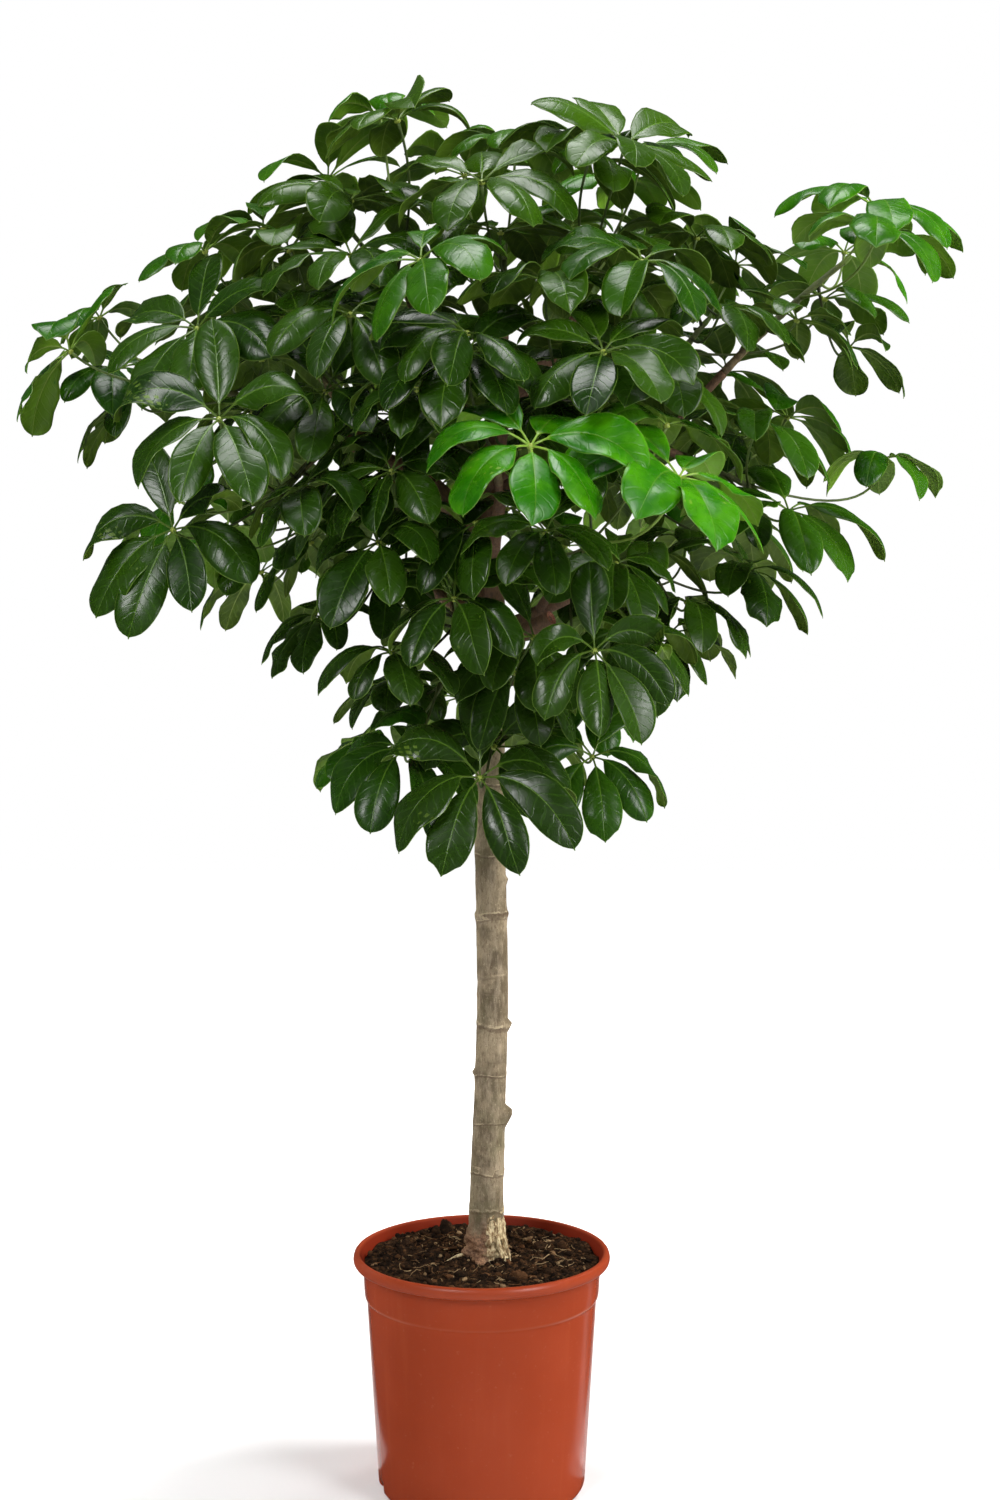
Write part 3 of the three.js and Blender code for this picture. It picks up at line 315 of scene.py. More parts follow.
def stalk_points(leaf):
    """Points along the bent line that the solids' stalk follows, after its root."""
    root, hub = leaf["root"], leaf["hub"]
    middle = bend(root, leaf["pull"], hub, 0.5)
    t = (np.arange(1, STALK_STEPS + 1) / STALK_STEPS)[:, None]
    return np.where(t < 0.5, root + (middle - root) * 2 * t, middle + (hub - middle) * (2 * t - 1))


def crossings(leaf, stem):
    """How many leaflets cross what is already there. Each place where the stalk does counts as three."""
    points, real = samples(leaf)
    cubes = cubes_of(points)
    taken = (blade_cubes[cubes] > 0) | (stalk_cubes[cubes] > 0)
    leaf["crosses"] = (taken & real).any(axis=(1, 2))
    leaf["samples"] = points, real
    leaf["stalk"] = stalk_points(leaf)
    path = cubes_of(leaf["stalk"][1:-1])
    blocked = (blade_cubes[path] > 0) | ((stalk_cubes[path] > 0) & (stalk_cubes[path] != stem))
    return int(leaf["crosses"].sum()) + 3 * int(blocked.sum())


def trials():
    """Every shift with every tilt and turn, from the plan's own place on."""
    for shift in SHIFTS:
        for tilt in TILTS:
            for phase in TURNS:
                yield shift, tilt, phase


def leaf_draws(draw, count):
    """What an umbrella draws: its spin and droop, and a row of wanderings for each leaflet."""
    spin, droop = next(draw), next(draw)
    return spin, droop, np.array([[next(draw) for _ in range(DRAWS_PER_LEAFLET)] for _ in range(count)])


def place(spec):
    """The umbrella of the first trial that crosses nothing, or else of the one that crosses least."""
    best, least = None, None
    for shift, tilt, phase in trials():
        leaf = umbrella(spec, shift, tilt, phase)
        count = crossings(leaf, spec["stem"])
        if best is None or count < least:
            best, least = leaf, count
        if count == 0:
            break
    points, real = best["samples"]
    kept = points[~best["crosses"]][real[~best["crosses"]]]
    if len(kept):
        take(blade_cubes, kept, CLEARANCE, spec["stem"])
    take(stalk_cubes, best["stalk"], CLEARANCE, spec["stem"])
    return best


def grown_hubs(start, tip, grown, number):
    """Umbrellas of a stem that grows where the plan names none: spread round its tip by the golden angle."""
    spread = GROWN_SPREAD
    out = unit(np.array([tip[0] - start[0], tip[1] - start[1], 0.0]))
    side = np.cross(out, UP)
    draw = draws(GROWN_SEED + number)
    hubs = []
    for k in range(grown):
        angle = k * GOLDEN_ANGLE + number
        hub = np.array(tip, float) + out * (spread["out"] + spread["out_wander"] * next(draw))
        hub = hub + side * (spread["side"] * math.cos(angle))
        hub = hub + UP * (spread["up"] * math.sin(angle) + spread["rise"])
        hubs.append([*hub, spread["size"] + spread["size_wander"] * next(draw)])
    return hubs


def take_path(path):
    """Takes the cubes in and round a piece of wood."""
    for a, b in zip(path, path[1:]):
        pa, pb = np.array(a[:3], float), np.array(b[:3], float)
        steps = math.ceil(np.linalg.norm(pb - pa) / WOOD_STEP)
        for k in range(steps):
            radius = a[3] + (b[3] - a[3]) * k / steps
            take(stalk_cubes, pa + (pb - pa) * (k / steps), radius + CLEARANCE, WOOD)


def twig_curve(start, tip):
    """A twig's line from its woody spur to its growing tip."""
    a, c = np.array(start, float), np.array(tip, float)
    pull = (a + c) / 2 + UP * (TWIG_BOW * np.linalg.norm(c - a))
    return lambda t: bend(a, pull, c, t)


def plan_tree():
    """Every leafy stem with its curve and its umbrellas, each in its place."""
    take_path(MAIN_STEM)
    for limb in LIMBS.values():
        take_path(limb)
    stems = []
    for number, (name, (start, tip, hubs)) in enumerate(LEAFY_STEMS.items(), 1):
        stems.append(dict(name=name, number=number, curve=twig_curve(start, tip), start=start, tip=tip,
                          hubs=hubs))
    for stem in stems:
        along = np.array([stem["curve"](i / TWIG_STEPS) for i in range(TWIG_STEPS + 1)])
        take(stalk_cubes, along, TWIG_RADIUS + CLEARANCE, stem["number"])
    seed = 0
    for stem in stems:
        grown = isinstance(stem["hubs"], int)
        rows = grown_hubs(stem["start"], stem["tip"], stem["hubs"], stem["number"]) if grown else stem["hubs"]
        stem["leaves"] = []
        for k, (x, y, z, size, *face) in enumerate(rows):
            seed += 1
            count = FEW_LEAFLETS if grown or size < SMALL_UMBRELLA else LEAFLETS
            leaf = place(dict(
                hub=np.array([x, y, z], float), reach=REACH * size, count=count, stem=stem["number"],
                axis=unit(np.array(face or [OUTWARD_LEAN * x, OUTWARD_LEAN * y, 1.0], float)),
                root=stem["curve"](TOP_LEAF - LEAF_SPACING * k), drawn=leaf_draws(draws(seed), count)))
            leaf["fresh"] = FRESH_AND_LIT.get(stem["name"], {}).get(k, 0.0)
            leaf["seed"] = seed
            stem["leaves"].append(leaf)
    return stems


# ---- More umbrellas, which fill the inside of the crown ----

INNER_UMBRELLAS = 84
INNER_SEED = 7000
CROWN_CORE = np.array([10.0, 20.0, 1120.0])
INNER_JITTER = np.array([75.0, 75.0, 60.0])
INNER_LEAN = (0.7, 0.9)  # how far umbrellas lean out to the sides, and to the front and back, at CROWN_REACH
CROWN_REACH = 450
LONGEST_INNER_STALK = 170.0
STALK_RISE = 30  # of a hub over the place on a twig that suits it best
MOST_LOST = 3  # leaflets that an inner umbrella may lose to what it would cross
# Umbrellas in front of the limbs that need a place of their own: hub, size and the way they face.
FRONT_UMBRELLAS = [
    ([136, -104, 966], 0.86, (0.2, -0.7, 0.6)), ([-98, -70, 945], 0.85, (-0.2, -0.6, 0.6)),
    ([-92, -96, 1120], 0.9, (-0.2, -0.6, 0.7)), ([-150, -60, 1062], 0.85, (-0.3, -0.6, 0.6)),
    ([52, -170, 872], 0.9, (0.1, -0.8, 0.5)), ([-2, -118, 774], 0.92, (0, -0.8, 0.3)),
]


def add_inner_umbrellas(stems):
    """Umbrellas between each stem's own and the crown's core, on the nearest twig, where there is room.
    Those in front of the limbs are kept in any case."""
    shares = np.linspace(0.35, 0.95, 7)
    twigs = [(stem, stem["curve"](share)) for stem in stems for share in shares]
    points = np.array([point for _, point in twigs])

    def add(hub, seed, draw, size=None, face=None):
        far = np.linalg.norm(points + UP * STALK_RISE - hub, axis=1)
        if face is None and far.min() > LONGEST_INNER_STALK:
            return
        stem, root = twigs[int(far.argmin())]
        drawn = leaf_draws(draw, LEAFLETS)
        if face is None:
            size = 0.88 + 0.12 * next(draw)
            out = INNER_LEAN * (hub - CROWN_CORE)[:2] / CROWN_REACH
            face = (out[0] + 0.25 * next(draw), out[1] + 0.25 * next(draw), 1.0)
        leaf = place(dict(hub=np.array(hub, float), reach=REACH * size, count=LEAFLETS, stem=stem["number"],
                          root=root, axis=unit(np.array(face, float)), drawn=drawn))
        if seed < INNER_SEED or leaf["crosses"].sum() <= MOST_LOST:
            leaf.update(fresh=0.0, seed=seed)
            stem["leaves"].append(leaf)

    for n, (hub, size, face) in enumerate(FRONT_UMBRELLAS):
        seed = INNER_SEED - 1 - n
        add(hub, seed, draws(seed), size, face)
    for n in range(INNER_UMBRELLAS):
        draw = draws(INNER_SEED + n)
        middle = np.mean([leaf["hub"] for leaf in stems[n % len(stems)]["leaves"]], 0)
        inward = 0.3 + 0.3 * next(draw)
        hub = middle + (CROWN_CORE - middle) * inward + INNER_JITTER * [next(draw) for _ in range(3)]
        add(hub, INNER_SEED + n, draw)


# ---- Meshes made of grids of points ----

VALUES = ("along", "across", "half", "under", "tone", "fresh")  # what a surface knows about itself
MAP_GAP = 2.0  # mm between patches of the bake's map


class Grids:
    """Grids of points gathered into one mesh, each with values for its material and a patch of a flat map."""

    def __init__(self):
        self.points, self.loops, self.sizes, self.slots = [], [], [], []
        self.values = {name: [] for name in VALUES}
        self.patches, self.patch_of, self.local = [], [], []
        self.count = 0

    def add(self, points, size, slot=0, flip=None, **values):
        """Adds closed grids: copies x rows x columns x 3, in millimetres. The last column joins the first,
        and one face each closes the first and last rows. flip turns the faces round; by default they face out."""
        points = points if points.ndim == 4 else points[None]
        copies, rows, columns = points.shape[:3]
        r, c = np.meshgrid(np.arange(rows - 1), np.arange(columns), indexing="ij")
        c2 = (c + 1) % columns
        low, high = r * columns, (r + 1) * columns
        quads = np.stack([low + c, low + c2, high + c2, high + c], -1)
        corners = [(r, c), (r, c + 1), (r + 1, c + 1), (r + 1, c)]
        places = np.stack([np.stack([col / columns, row / (rows - 1)], -1) for row, col in corners], -2)
        quads, places = quads.reshape(-1, 4), places.reshape(-1, 4, 2)
        if flip is None:
            flat = points[0].reshape(-1, 3)
            a, b, d, e = (flat[corner] - flat.mean(0) for corner in quads.T)
            flip = (np.cross(a, b) * d).sum() + (np.cross(a, d) * e).sum() < 0
        if flip:
            quads, places = quads[:, ::-1], places[:, ::-1]
        ends = ((np.arange(columns)[::-1], 0.0), ((rows - 1) * columns + np.arange(columns), 1.0))
        for k in range(copies):
            first, patch = self.count + k * rows * columns, len(self.patches)
            self.patches.append(size[k] if isinstance(size, list) else size)
            self.loops.append((quads + first).ravel())
            self.sizes.append(np.full(len(quads), 4))
            self.local.append(places.reshape(-1, 2))
            self.patch_of.append(np.full(len(quads) * 4, patch))
            for ring, level in ends:
                ring = ring[::-1] if flip else ring
                self.loops.append(ring + first)
                self.sizes.append(np.array([columns]))
                self.local.append(np.stack([(ring % columns) / columns, np.full(columns, level)], -1))
                self.patch_of.append(np.full(columns, patch))
            self.slots.append(np.full(len(quads) + len(ends), slot))
        self.points.append(points.reshape(-1, 3))
        self.count += copies * rows * columns
        for name in VALUES:
            value = np.broadcast_to(np.asarray(values.get(name, 0.0), float), (copies, rows, columns))
            self.values[name].append(value.ravel())

    def map_offsets(self):
        """Where each patch goes on the map, in rows of falling height, and the side of their square."""
        sizes = np.array(self.patches) + MAP_GAP
        side = max(math.sqrt((sizes[:, 0] * sizes[:, 1]).sum()) * 1.08, sizes.max())
        offsets = np.zeros((len(sizes), 2))
        x = y = tallest = 0.0
        for k in np.argsort(-sizes[:, 1], kind="stable"):
            w, h = sizes[k]
            if x + w > side and x > 0:
                x, y, tallest = 0.0, y + tallest, 0.0
            offsets[k] = x, y
            x, tallest = x + w, max(tallest, h)
        return offsets, max(side, y + tallest)

    def object(self, name, materials, nodes):
        """The mesh as a piece that rides on the row's body and stands for the CAD nodes."""
        mesh = bpy.data.meshes.new(name)
        points, loops = np.concatenate(self.points) * MM, np.concatenate(self.loops)
        sizes, slots = np.concatenate(self.sizes), np.concatenate(self.slots)
        mesh.vertices.add(len(points))
        mesh.vertices.foreach_set("co", points.ravel())
        mesh.loops.add(len(loops))
        mesh.loops.foreach_set("vertex_index", loops.astype(np.int32))
        mesh.polygons.add(len(sizes))
        mesh.polygons.foreach_set("loop_start", np.concatenate([[0], np.cumsum(sizes)[:-1]]).astype(np.int32))
        mesh.polygons.foreach_set("material_index", slots.astype(np.int32))
        mesh.polygons.foreach_set("use_smooth", np.ones(len(sizes), bool))
        mesh.update(calc_edges=True)
        offsets, side = self.map_offsets()
        patch_of = np.concatenate(self.patch_of)
        uv = (offsets[patch_of] + np.concatenate(self.local) * np.array(self.patches)[patch_of]) / side
        mesh.uv_layers.new(name="OFBake").data.foreach_set("uv", uv.astype(np.float32).ravel())
        for key in VALUES:
            value = np.concatenate(self.values[key]).astype(np.float32)
            if value.any():
                mesh.attributes.new(key, "FLOAT", "POINT").data.foreach_set("value", value)
        for material in materials:
            mesh.materials.append(material)
        piece = bpy.data.objects.new(name, mesh)
        bpy.context.scene.collection.objects.link(piece)
        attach(piece, "root")
        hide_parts(*nodes)


def smooth_steps(count, shares):
    """Weights that turn values at even steps into smooth values at shares of the way, by cubic pieces."""
    rows = np.zeros((len(shares), count))
    for row, share in zip(rows, shares):
        at = min(max(share, 0.0), 1.0) * (count - 1)
        i = min(int(at), count - 2)
        t = at - i
        weights = ((-t**3 + 2 * t**2 - t) / 2, (3 * t**3 - 5 * t**2 + 2) / 2,
                   (-3 * t**3 + 4 * t**2 + t) / 2, (t**3 - t**2) / 2)
        for k, w in zip((i - 1, i, i + 1, i + 2), weights):
            row[min(max(k, 0), count - 1)] += w
    return rows


def smooth_path(points, rows):
    """Rows of points, with their radii, on a smooth line through a plan's points."""
    points = np.array(points, float)
    return smooth_steps(len(points), np.linspace(0, 1, rows)) @ points


def step_up(low, high, x):
    """From 0 at low to 1 at high, with soft ends."""
    t = np.clip((x - low) / (high - low), 0, 1)
    return t * t * (3 - 2 * t)


def sweep(path, radii, columns):
    """A grid round a path: rows x columns x 3. radii is one for each row, or rows x columns."""
    path = np.asarray(path, float)
    forward = unit(np.gradient(path, axis=0))
    angle = 2 * math.pi * np.arange(columns) / columns
    radii = np.broadcast_to(np.reshape(radii, (len(path), -1)), (len(path), columns))
    across = np.array([1.0, 0, 0]) if abs(forward[0][2]) > 0.9 else UP
    rings = []
    for centre, f, radius in zip(path, forward, radii):
        across = unit(across - f * (across @ f))
        other = np.cross(f, across)
        around = np.cos(angle)[:, None] * across + np.sin(angle)[:, None] * other
        rings.append(centre + radius[:, None] * around)
    return np.array(rings)


def length_of(path):
    return float(np.linalg.norm(np.diff(np.asarray(path, float)[:, :3], axis=0), axis=1).sum())


# ---- Leaves ----

ACROSS = np.array([-1, -0.84, -0.58, -0.28, -0.075, 0, 0.075, 0.28, 0.58, 0.84, 1])
BLADE_ROWS = np.array([0, 0.025, 0.07, 0.14, 0.23, 0.33, 0.43, 0.53, 0.63, 0.72, 0.79, 0.84, 0.87, 0.9, 0.93,
                       0.955, 0.975, 1.0])
FOOT_ROWS = np.array([0.0, 0.45, 0.85])  # of the small stalk between the hub and the blade
FOOT_RADIUS = 1.0
BLADE_HALF_THICK = 0.24
RIB_HEIGHT = 0.85
TRIM_SHARES = np.array([[0, 0], [0.14, 0.42], [0.33, 0.75], [0.53, 0.97], [0.66, 1.0], [0.79, 0.86],
                        [0.85, 0.74], [0.875, 0.66], [0.9, 0.4], [0.935, 0.2], [0.97, 0.09], [1, 0.0]])


def both_sides(value):
    """A value for the top of a blade and, mirrored, for its underside."""
    return np.concatenate([value, value[:, :, ::-1]], 2)


def half_widths(full, fresh, widest, t):
    """The widths of both halves along each leaflet: widest past the middle, with a short drip tip, or cut off
    short with a tooth on each side."""
    tc, draw = np.clip(t, 0, 1), 2 * full - 1
    rise, fall = 0.72 + 0.12 * draw[:, 4], 0.5 + 0.08 * draw[:, 5]
    body = np.clip(tc / 0.965, 0, 1)
    peak = rise / (rise + fall)
    scale = (peak**rise * (1 - peak) ** fall)[:, None]
    oval = body ** rise[:, None] * (1 - body) ** fall[:, None] / scale
    drip = 0.1 * np.clip((1 - tc) / 0.08, 0, 1)
    oval = np.maximum(oval, drip)
    trimmed = np.interp(tc, TRIM_SHARES[:, 0], TRIM_SHARES[:, 1])
    often = 0.16 + 0.45 * fresh
    cuts = [np.where(full[:, 6] < often, 0.45 + 0.5 * full[:, k], 0.0)[:, None] for k in (7, 8)]
    narrow = FOOT_RADIUS * (1 - 0.6 * tc)
    outlines = [widest[:, None] * (oval + (trimmed - oval) * cut) for cut in cuts]
    return [np.where(t < 0, FOOT_RADIUS, np.sqrt(narrow**2 + outline**2)) for outline in outlines]


def blades(leaf):
    """The leaflets of an umbrella: copies x rows x columns x 3, with their values."""
    kept = np.flatnonzero(~leaf["crosses"])
    if not len(kept):
        return None
    n = len(kept)
    rng = np.random.default_rng(9000 + leaf["seed"])
    full = rng.random((len(leaf["crosses"]), 16))[kept]
    draw = 2 * full - 1
    fresh = leaf["fresh"]
    reach = leaf["reach"][kept]
    foot = 0.165 + 0.03 * draw[:, 0]
    shares = np.concatenate([foot[:, None] * FOOT_ROWS, foot[:, None] + (1 - foot[:, None]) * BLADE_ROWS], 1)
    t = (shares - foot[:, None]) / (1 - foot[:, None])
    weights = np.stack([smooth_steps(LINE_STEPS + 1, row) for row in shares])
    p, side, normal = (weights @ leaf[key][kept] for key in ("p", "side", "normal"))
    side, normal = unit(side), unit(normal)
    tc = np.clip(t, 0, 1)

    # The blade twists a little along its length and its rib curves sideways.
    twist = (0.55 * draw[:, 1])[:, None, None] * tc[..., None] + (0.16 * draw[:, 13])[:, None, None]
    side, normal = (side * np.cos(twist) + normal * np.sin(twist),
                    normal * np.cos(twist) - side * np.sin(twist))
    sabre = (0.065 * draw[:, 2] * reach)[:, None, None] * (tc**2)[..., None]
    hook = ((0.02 + 0.06 * full[:, 14]) * reach)[:, None, None]
    hook = hook * (np.clip((tc - 0.6) / 0.4, 0, 1) ** 2)[..., None]
    p = p + side * sabre - normal * hook

    widest = 0.5 * BLADE_WIDTH * reach * (1.03 + 0.16 * draw[:, 3] + 0.34 * max(0, fresh - 0.4))
    halves = half_widths(full, fresh, widest, t)
    u = ACROSS[None, None, :]
    half = np.where(u < 0, halves[0][..., None], halves[1][..., None])
    x = u * half

    # It is folded along the rib, its halves curl down, and its edges wave.
    blade = step_up(-0.02, 0.12, t)[..., None]
    fold = (0.2 + 0.16 * draw[:, 9])[:, None, None]
    curl = (0.28 + 0.26 * draw[:, 10])[:, None, None]
    wave = (0.1 + 0.09 * draw[:, 11])[:, None, None] * widest[:, None, None]
    beats = (1.7 + 0.8 * draw[:, 12])[:, None, None]
    phase = np.where(u < 0, math.pi * draw[:, 13][:, None, None], math.pi * draw[:, 14][:, None, None])
    ripple = wave * np.sin(2 * math.pi * beats * tc[..., None] + phase) * u**2
    ripple = ripple * np.sin(math.pi * tc)[..., None]
    z = blade * (half * (fold * np.abs(u) - curl * u**2) + ripple)
    rib = RIB_HEIGHT * (1 - 0.8 * tc[..., None]) * np.exp(-((x / 0.9) ** 2))
    round_foot = FOOT_RADIUS * np.sqrt(np.maximum(0, 1 - u**2))
    above = blade * BLADE_HALF_THICK + (1 - blade) * round_foot - 0.3 * blade * rib
    below = blade * (BLADE_HALF_THICK + rib) + (1 - blade) * round_foot
    middle = p[:, :, None] + side[:, :, None] * x[..., None] + normal[:, :, None] * z[..., None]
    top = middle + normal[:, :, None] * above[..., None]
    under = (middle - normal[:, :, None] * below[..., None])[:, :, ::-1]
    points = np.concatenate([top, under], 2)
    shape = x.shape
    tone = np.broadcast_to(full[:, 15][:, None, None], shape)
    return dict(
        points=points, along=both_sides(np.broadcast_to(t[..., None], shape)), across=both_sides(x),
        half=both_sides(half), tone=both_sides(tone), fresh=fresh,
        under=np.concatenate([np.zeros(shape), np.ones(shape)], 2),
        size=[(float(4 * w), float(r)) for w, r in zip(widest, reach)])


HUB_KNOB = 3.5
STALK_RADIUS = 1.35
STALK_ROWS = 16


def add_leaf(grids, leaf):
    """An umbrella's leaflets with its hub and its stalk."""
    made = blades(leaf)
    if made:
        grids.add(made.pop("points"), made.pop("size"), **made)
    hub, axis, fresh = leaf["hub"], leaf["axis"], leaf["fresh"]

    # The small round knob that the leaflets spread from.
    levels = np.linspace(-0.5, 0.5, 7) * math.pi
    ring = HUB_KNOB * np.cos(levels)
    ring[0] = ring[-1] = 0.25
    path = hub + axis * (HUB_KNOB * 0.8 * np.sin(levels) - 0.4)[:, None]
    grids.add(sweep(path, ring, 10), slot=1, size=(22, 11), along=1.0, fresh=fresh, tone=1.0)

    # The long stalk, swollen where it sits on the twig and just under the knob.
    t = np.linspace(0, 1, STALK_ROWS)
    path = bend(leaf["root"], leaf["pull"], hub - axis * 1.5, t[:, None])
    radius = STALK_RADIUS * (1 + 0.9 * np.exp(-t / 0.035) + 0.45 * np.exp(-(1 - t) / 0.03))
    length = length_of(path)
    grids.add(sweep(path, radius, 8), slot=1, size=(9, length),
              along=t[None, :, None], fresh=fresh, tone=(leaf["seed"] * 0.618) % 1)


def add_twig(grids, stem):
    """The green twig, ringed where leaves grew, with a pointed bud."""
    shares = np.linspace(0, 1, 40)
    path = np.array([stem["curve"](SPUR_SHARE + (1 - SPUR_SHARE) * s) for s in shares])
    path[0] -= unit(path[1] - path[0]) * 1.5
    rings = 0.5 * np.maximum(0, np.cos(shares * 2 * math.pi * 7 + stem["number"])) ** 8
    radius = TWIG_RADIUS * (1 - 0.35 * shares) * 1.04 + rings
    length = length_of(path)
    grids.add(sweep(path, radius, 14), slot=2, size=(26, length),
              along=shares[None, :, None], tone=(stem["number"] * 0.618) % 1)
    tip, way = path[-1], unit(path[-1] - path[-2])
    bud = np.linspace(0, 1, 9)
    radius = TWIG_RADIUS * 0.75 * np.sqrt(np.maximum(0.006, 1 - bud**1.5))
    grids.add(sweep(tip + way * (bud * 13 - 1)[:, None], radius, 10), slot=1,
              size=(20, 14), along=0.8, fresh=0.3, tone=0.6)


# ---- Materials ----


def srgb(red, green, blue):
    """A colour given as 0 to 255 on a screen, in the linear values that shaders use, with its alpha."""
    linear = (((c / 255 + 0.055) / 1.055) ** 2.4 if c > 10 else c / 255 / 12.92 for c in (red, green, blue))
    return (*linear, 1)


class Look:
    """A material's nodes, made by short calls. A socket given as an input is linked, anything else is set."""

    def __init__(self, name):
        self.material = bpy.data.materials.new(name)
        self.material.use_nodes = True
        self.tree = self.material.node_tree
        self.shader = self.tree.nodes["Principled BSDF"]

    def node(self, kind, inputs=None, output=0, **settings):
        made = self.tree.nodes.new("ShaderNode" + kind)
        for key, value in settings.items():
            setattr(made, key, value)
        for key, value in (inputs or {}).items():
            self.set(made.inputs[key], value)
        return made.outputs[output]

    def set(self, socket, value):
        if isinstance(value, bpy.types.NodeSocket):
            self.tree.links.new(value, socket)
        else:
            socket.default_value = value

    def shade(self, **inputs):
        for key, value in inputs.items():
            self.set(self.shader.inputs[key.replace("_", " ")], value)

    def math(self, operation, a, b=0.5, c=0.5):
        return self.node("Math", {0: a, 1: b, 2: c}, operation=operation)

    def times(self, a, b, plus=0.0):
        return self.math("MULTIPLY_ADD", a, b, plus)

    def value(self, name):
        return self.node("Attribute", output=2, attribute_name=name)

    def place(self):
        return self.node("TexCoord", output=3)

    def height(self):
        return self.node("SeparateXYZ", {0: self.place()}, output=2)

    def noise(self, scale, detail=3.0, rough=0.55, at=None):
        return self.node("TexNoise", {"Vector": at or self.place(), "Scale": scale, "Detail": detail,
                                      "Roughness": rough})

    def stretched(self, x, y, z):
        return self.node("Mapping", {"Vector": self.place(), "Scale": (x, y, z)})

    def ramp(self, fac, *stops):
        made = self.tree.nodes.new("ShaderNodeValToRGB")
        made.color_ramp.elements.remove(made.color_ramp.elements[1])
        for k, (at, colour) in enumerate(stops):
            element = made.color_ramp.elements[0] if k == 0 else made.color_ramp.elements.new(at)
            element.position = at
            element.color = srgb(*colour)
        self.set(made.inputs[0], fac)
        return made.outputs[0]

    def between(self, x, low, high, out_low=0.0, out_high=1.0):
        return self.node("MapRange", {"Value": x, "From Min": low, "From Max": high, "To Min": out_low,
                                      "To Max": out_high}, interpolation_type="SMOOTHSTEP")

    def mix(self, fac, a, b):
        """From colour a to b. Three numbers are a screen's 0 to 255, four are the shader's linear values."""
        made = self.tree.nodes.new("ShaderNodeMix")
        made.data_type = "RGBA"
        for index, value in ((0, fac), (6, a), (7, b)):
            on_screen = isinstance(value, tuple) and len(value) == 3
            self.set(made.inputs[index], srgb(*value) if on_screen else value)
        return made.outputs[2]

    def tint(self, colour, mask, share, other):
        """Turns a colour to another by a share of a mask."""
        return self.mix(self.times(mask, share), colour, other)

    def bump(self, height, strength, distance, normal=None):
        inputs = {"Height": height, "Strength": strength, "Distance": distance}
        if normal:
            inputs["Normal"] = normal
        return self.node("Bump", inputs)


def leaf_look():
    look = Look("leaf_green")
    along, fresh, tone = look.value("along"), look.value("fresh"), look.value("tone")
    aside = look.math("ABSOLUTE", look.value("across"))
    half = look.value("half")
    share = look.math("DIVIDE", aside, half)
    mottle = look.noise(38.0, 4.0)
    fine = look.noise(420.0, 3.0)

    # Pinnate veins that leave the rib at a slant and fade before the edge.
    beat = look.math("SUBTRACT", look.times(along, 9.0), look.times(share, 1.7))
    wobble = look.times(look.noise(60.0, 2.0), 1.1, beat)
    veins = look.math("SINE", look.times(wobble, 2 * math.pi))
    veins = look.times(look.between(veins, 0.72, 1.0), look.between(share, 1.0, 0.75))
    veins = look.times(veins, look.between(along, 0.0, 0.08))
    rib_width = look.between(along, 0.0, 1.0, 0.95, 0.3)
    rib = look.between(look.math("SUBTRACT", aside, rib_width), 0.25, -0.35)
    edge = look.between(look.math("SUBTRACT", half, aside), 0.75, 0.2)
    foot = look.between(along, 0.03, -0.02)

    up = look.height()
    # Leaves high in the crown are painted lighter and yellower, as painted light; those low in it are turned a
    # greyer green.
    high = look.between(up, 1.2, 1.42)
    deep = look.mix(tone, (14, 38, 3), (46, 78, 9))
    deep = look.mix(look.between(mottle, 0.3, 0.75, 0.0, 0.6), deep, (30, 62, 3))
    deep = look.tint(deep, high, 0.45, (64, 100, 8))
    deep = look.tint(deep, look.between(up, 0.98, 0.8), 0.5, (32, 50, 14))
    bright = look.mix(look.between(mottle, 0.35, 0.7), (32, 102, 0), (66, 136, 6))
    # Lighter green for fresh leaves: young leaves, and painted light on leaves that light shines through.
    top = look.mix(fresh, deep, bright)
    top = look.tint(top, veins, 0.1, (80, 128, 30))
    top = look.tint(top, rib, 0.38, (106, 146, 46))
    below = look.mix(look.between(mottle, 0.3, 0.7), (60, 84, 14), (82, 108, 22))
    below = look.tint(below, fresh, 0.7, (104, 154, 30))
    below = look.tint(below, veins, 0.25, (112, 138, 62))
    below = look.tint(below, rib, 0.7, (140, 158, 80))
    colour = look.mix(look.value("under"), top, below)
    colour = look.tint(colour, edge, 0.45, (120, 152, 62))
    foot_colour = look.mix(fresh, (78, 102, 36), (132, 168, 60))
    colour = look.mix(foot, colour, foot_colour)

    rough = look.between(look.noise(55.0, 3.0), 0.3, 0.7, 0.2, 0.36)
    rough = look.times(look.value("under"), 0.22, rough)
    relief = look.times(veins, -0.4, look.times(rib, -0.8))
    relief = look.times(look.noise(130.0, 3.0), 0.9, relief)
    normal = look.bump(relief, 0.5, 0.0006)
    normal = look.bump(fine, 0.15, 0.00015, normal)
    look.shade(Base_Color=colour, Roughness=rough, Normal=normal, Specular_IOR_Level=0.34)
    return look.material


def stalk_look():
    look = Look("leaf_stalk_green")
    along, fresh = look.value("along"), look.value("fresh")
    mottle = look.noise(150.0, 3.0)
    lower = look.mix(look.between(mottle, 0.3, 0.7), (44, 50, 28), (62, 66, 36))
    upper = look.mix(look.between(mottle, 0.3, 0.7), (66, 88, 36), (88, 108, 48))
    colour = look.mix(look.between(along, 0.1, 0.95), lower, upper)
    colour = look.tint(colour, fresh, 0.8, (132, 160, 70))
    knob = look.between(look.value("tone"), 0.995, 1.0)
    colour = look.tint(colour, knob, 0.85, (150, 166, 66))
    normal = look.bump(look.noise(900.0, 2.0), 0.2, 0.0002)
    look.shade(Base_Color=colour, Roughness=look.between(mottle, 0.3, 0.7, 0.38, 0.52), Normal=normal)
    return look.material


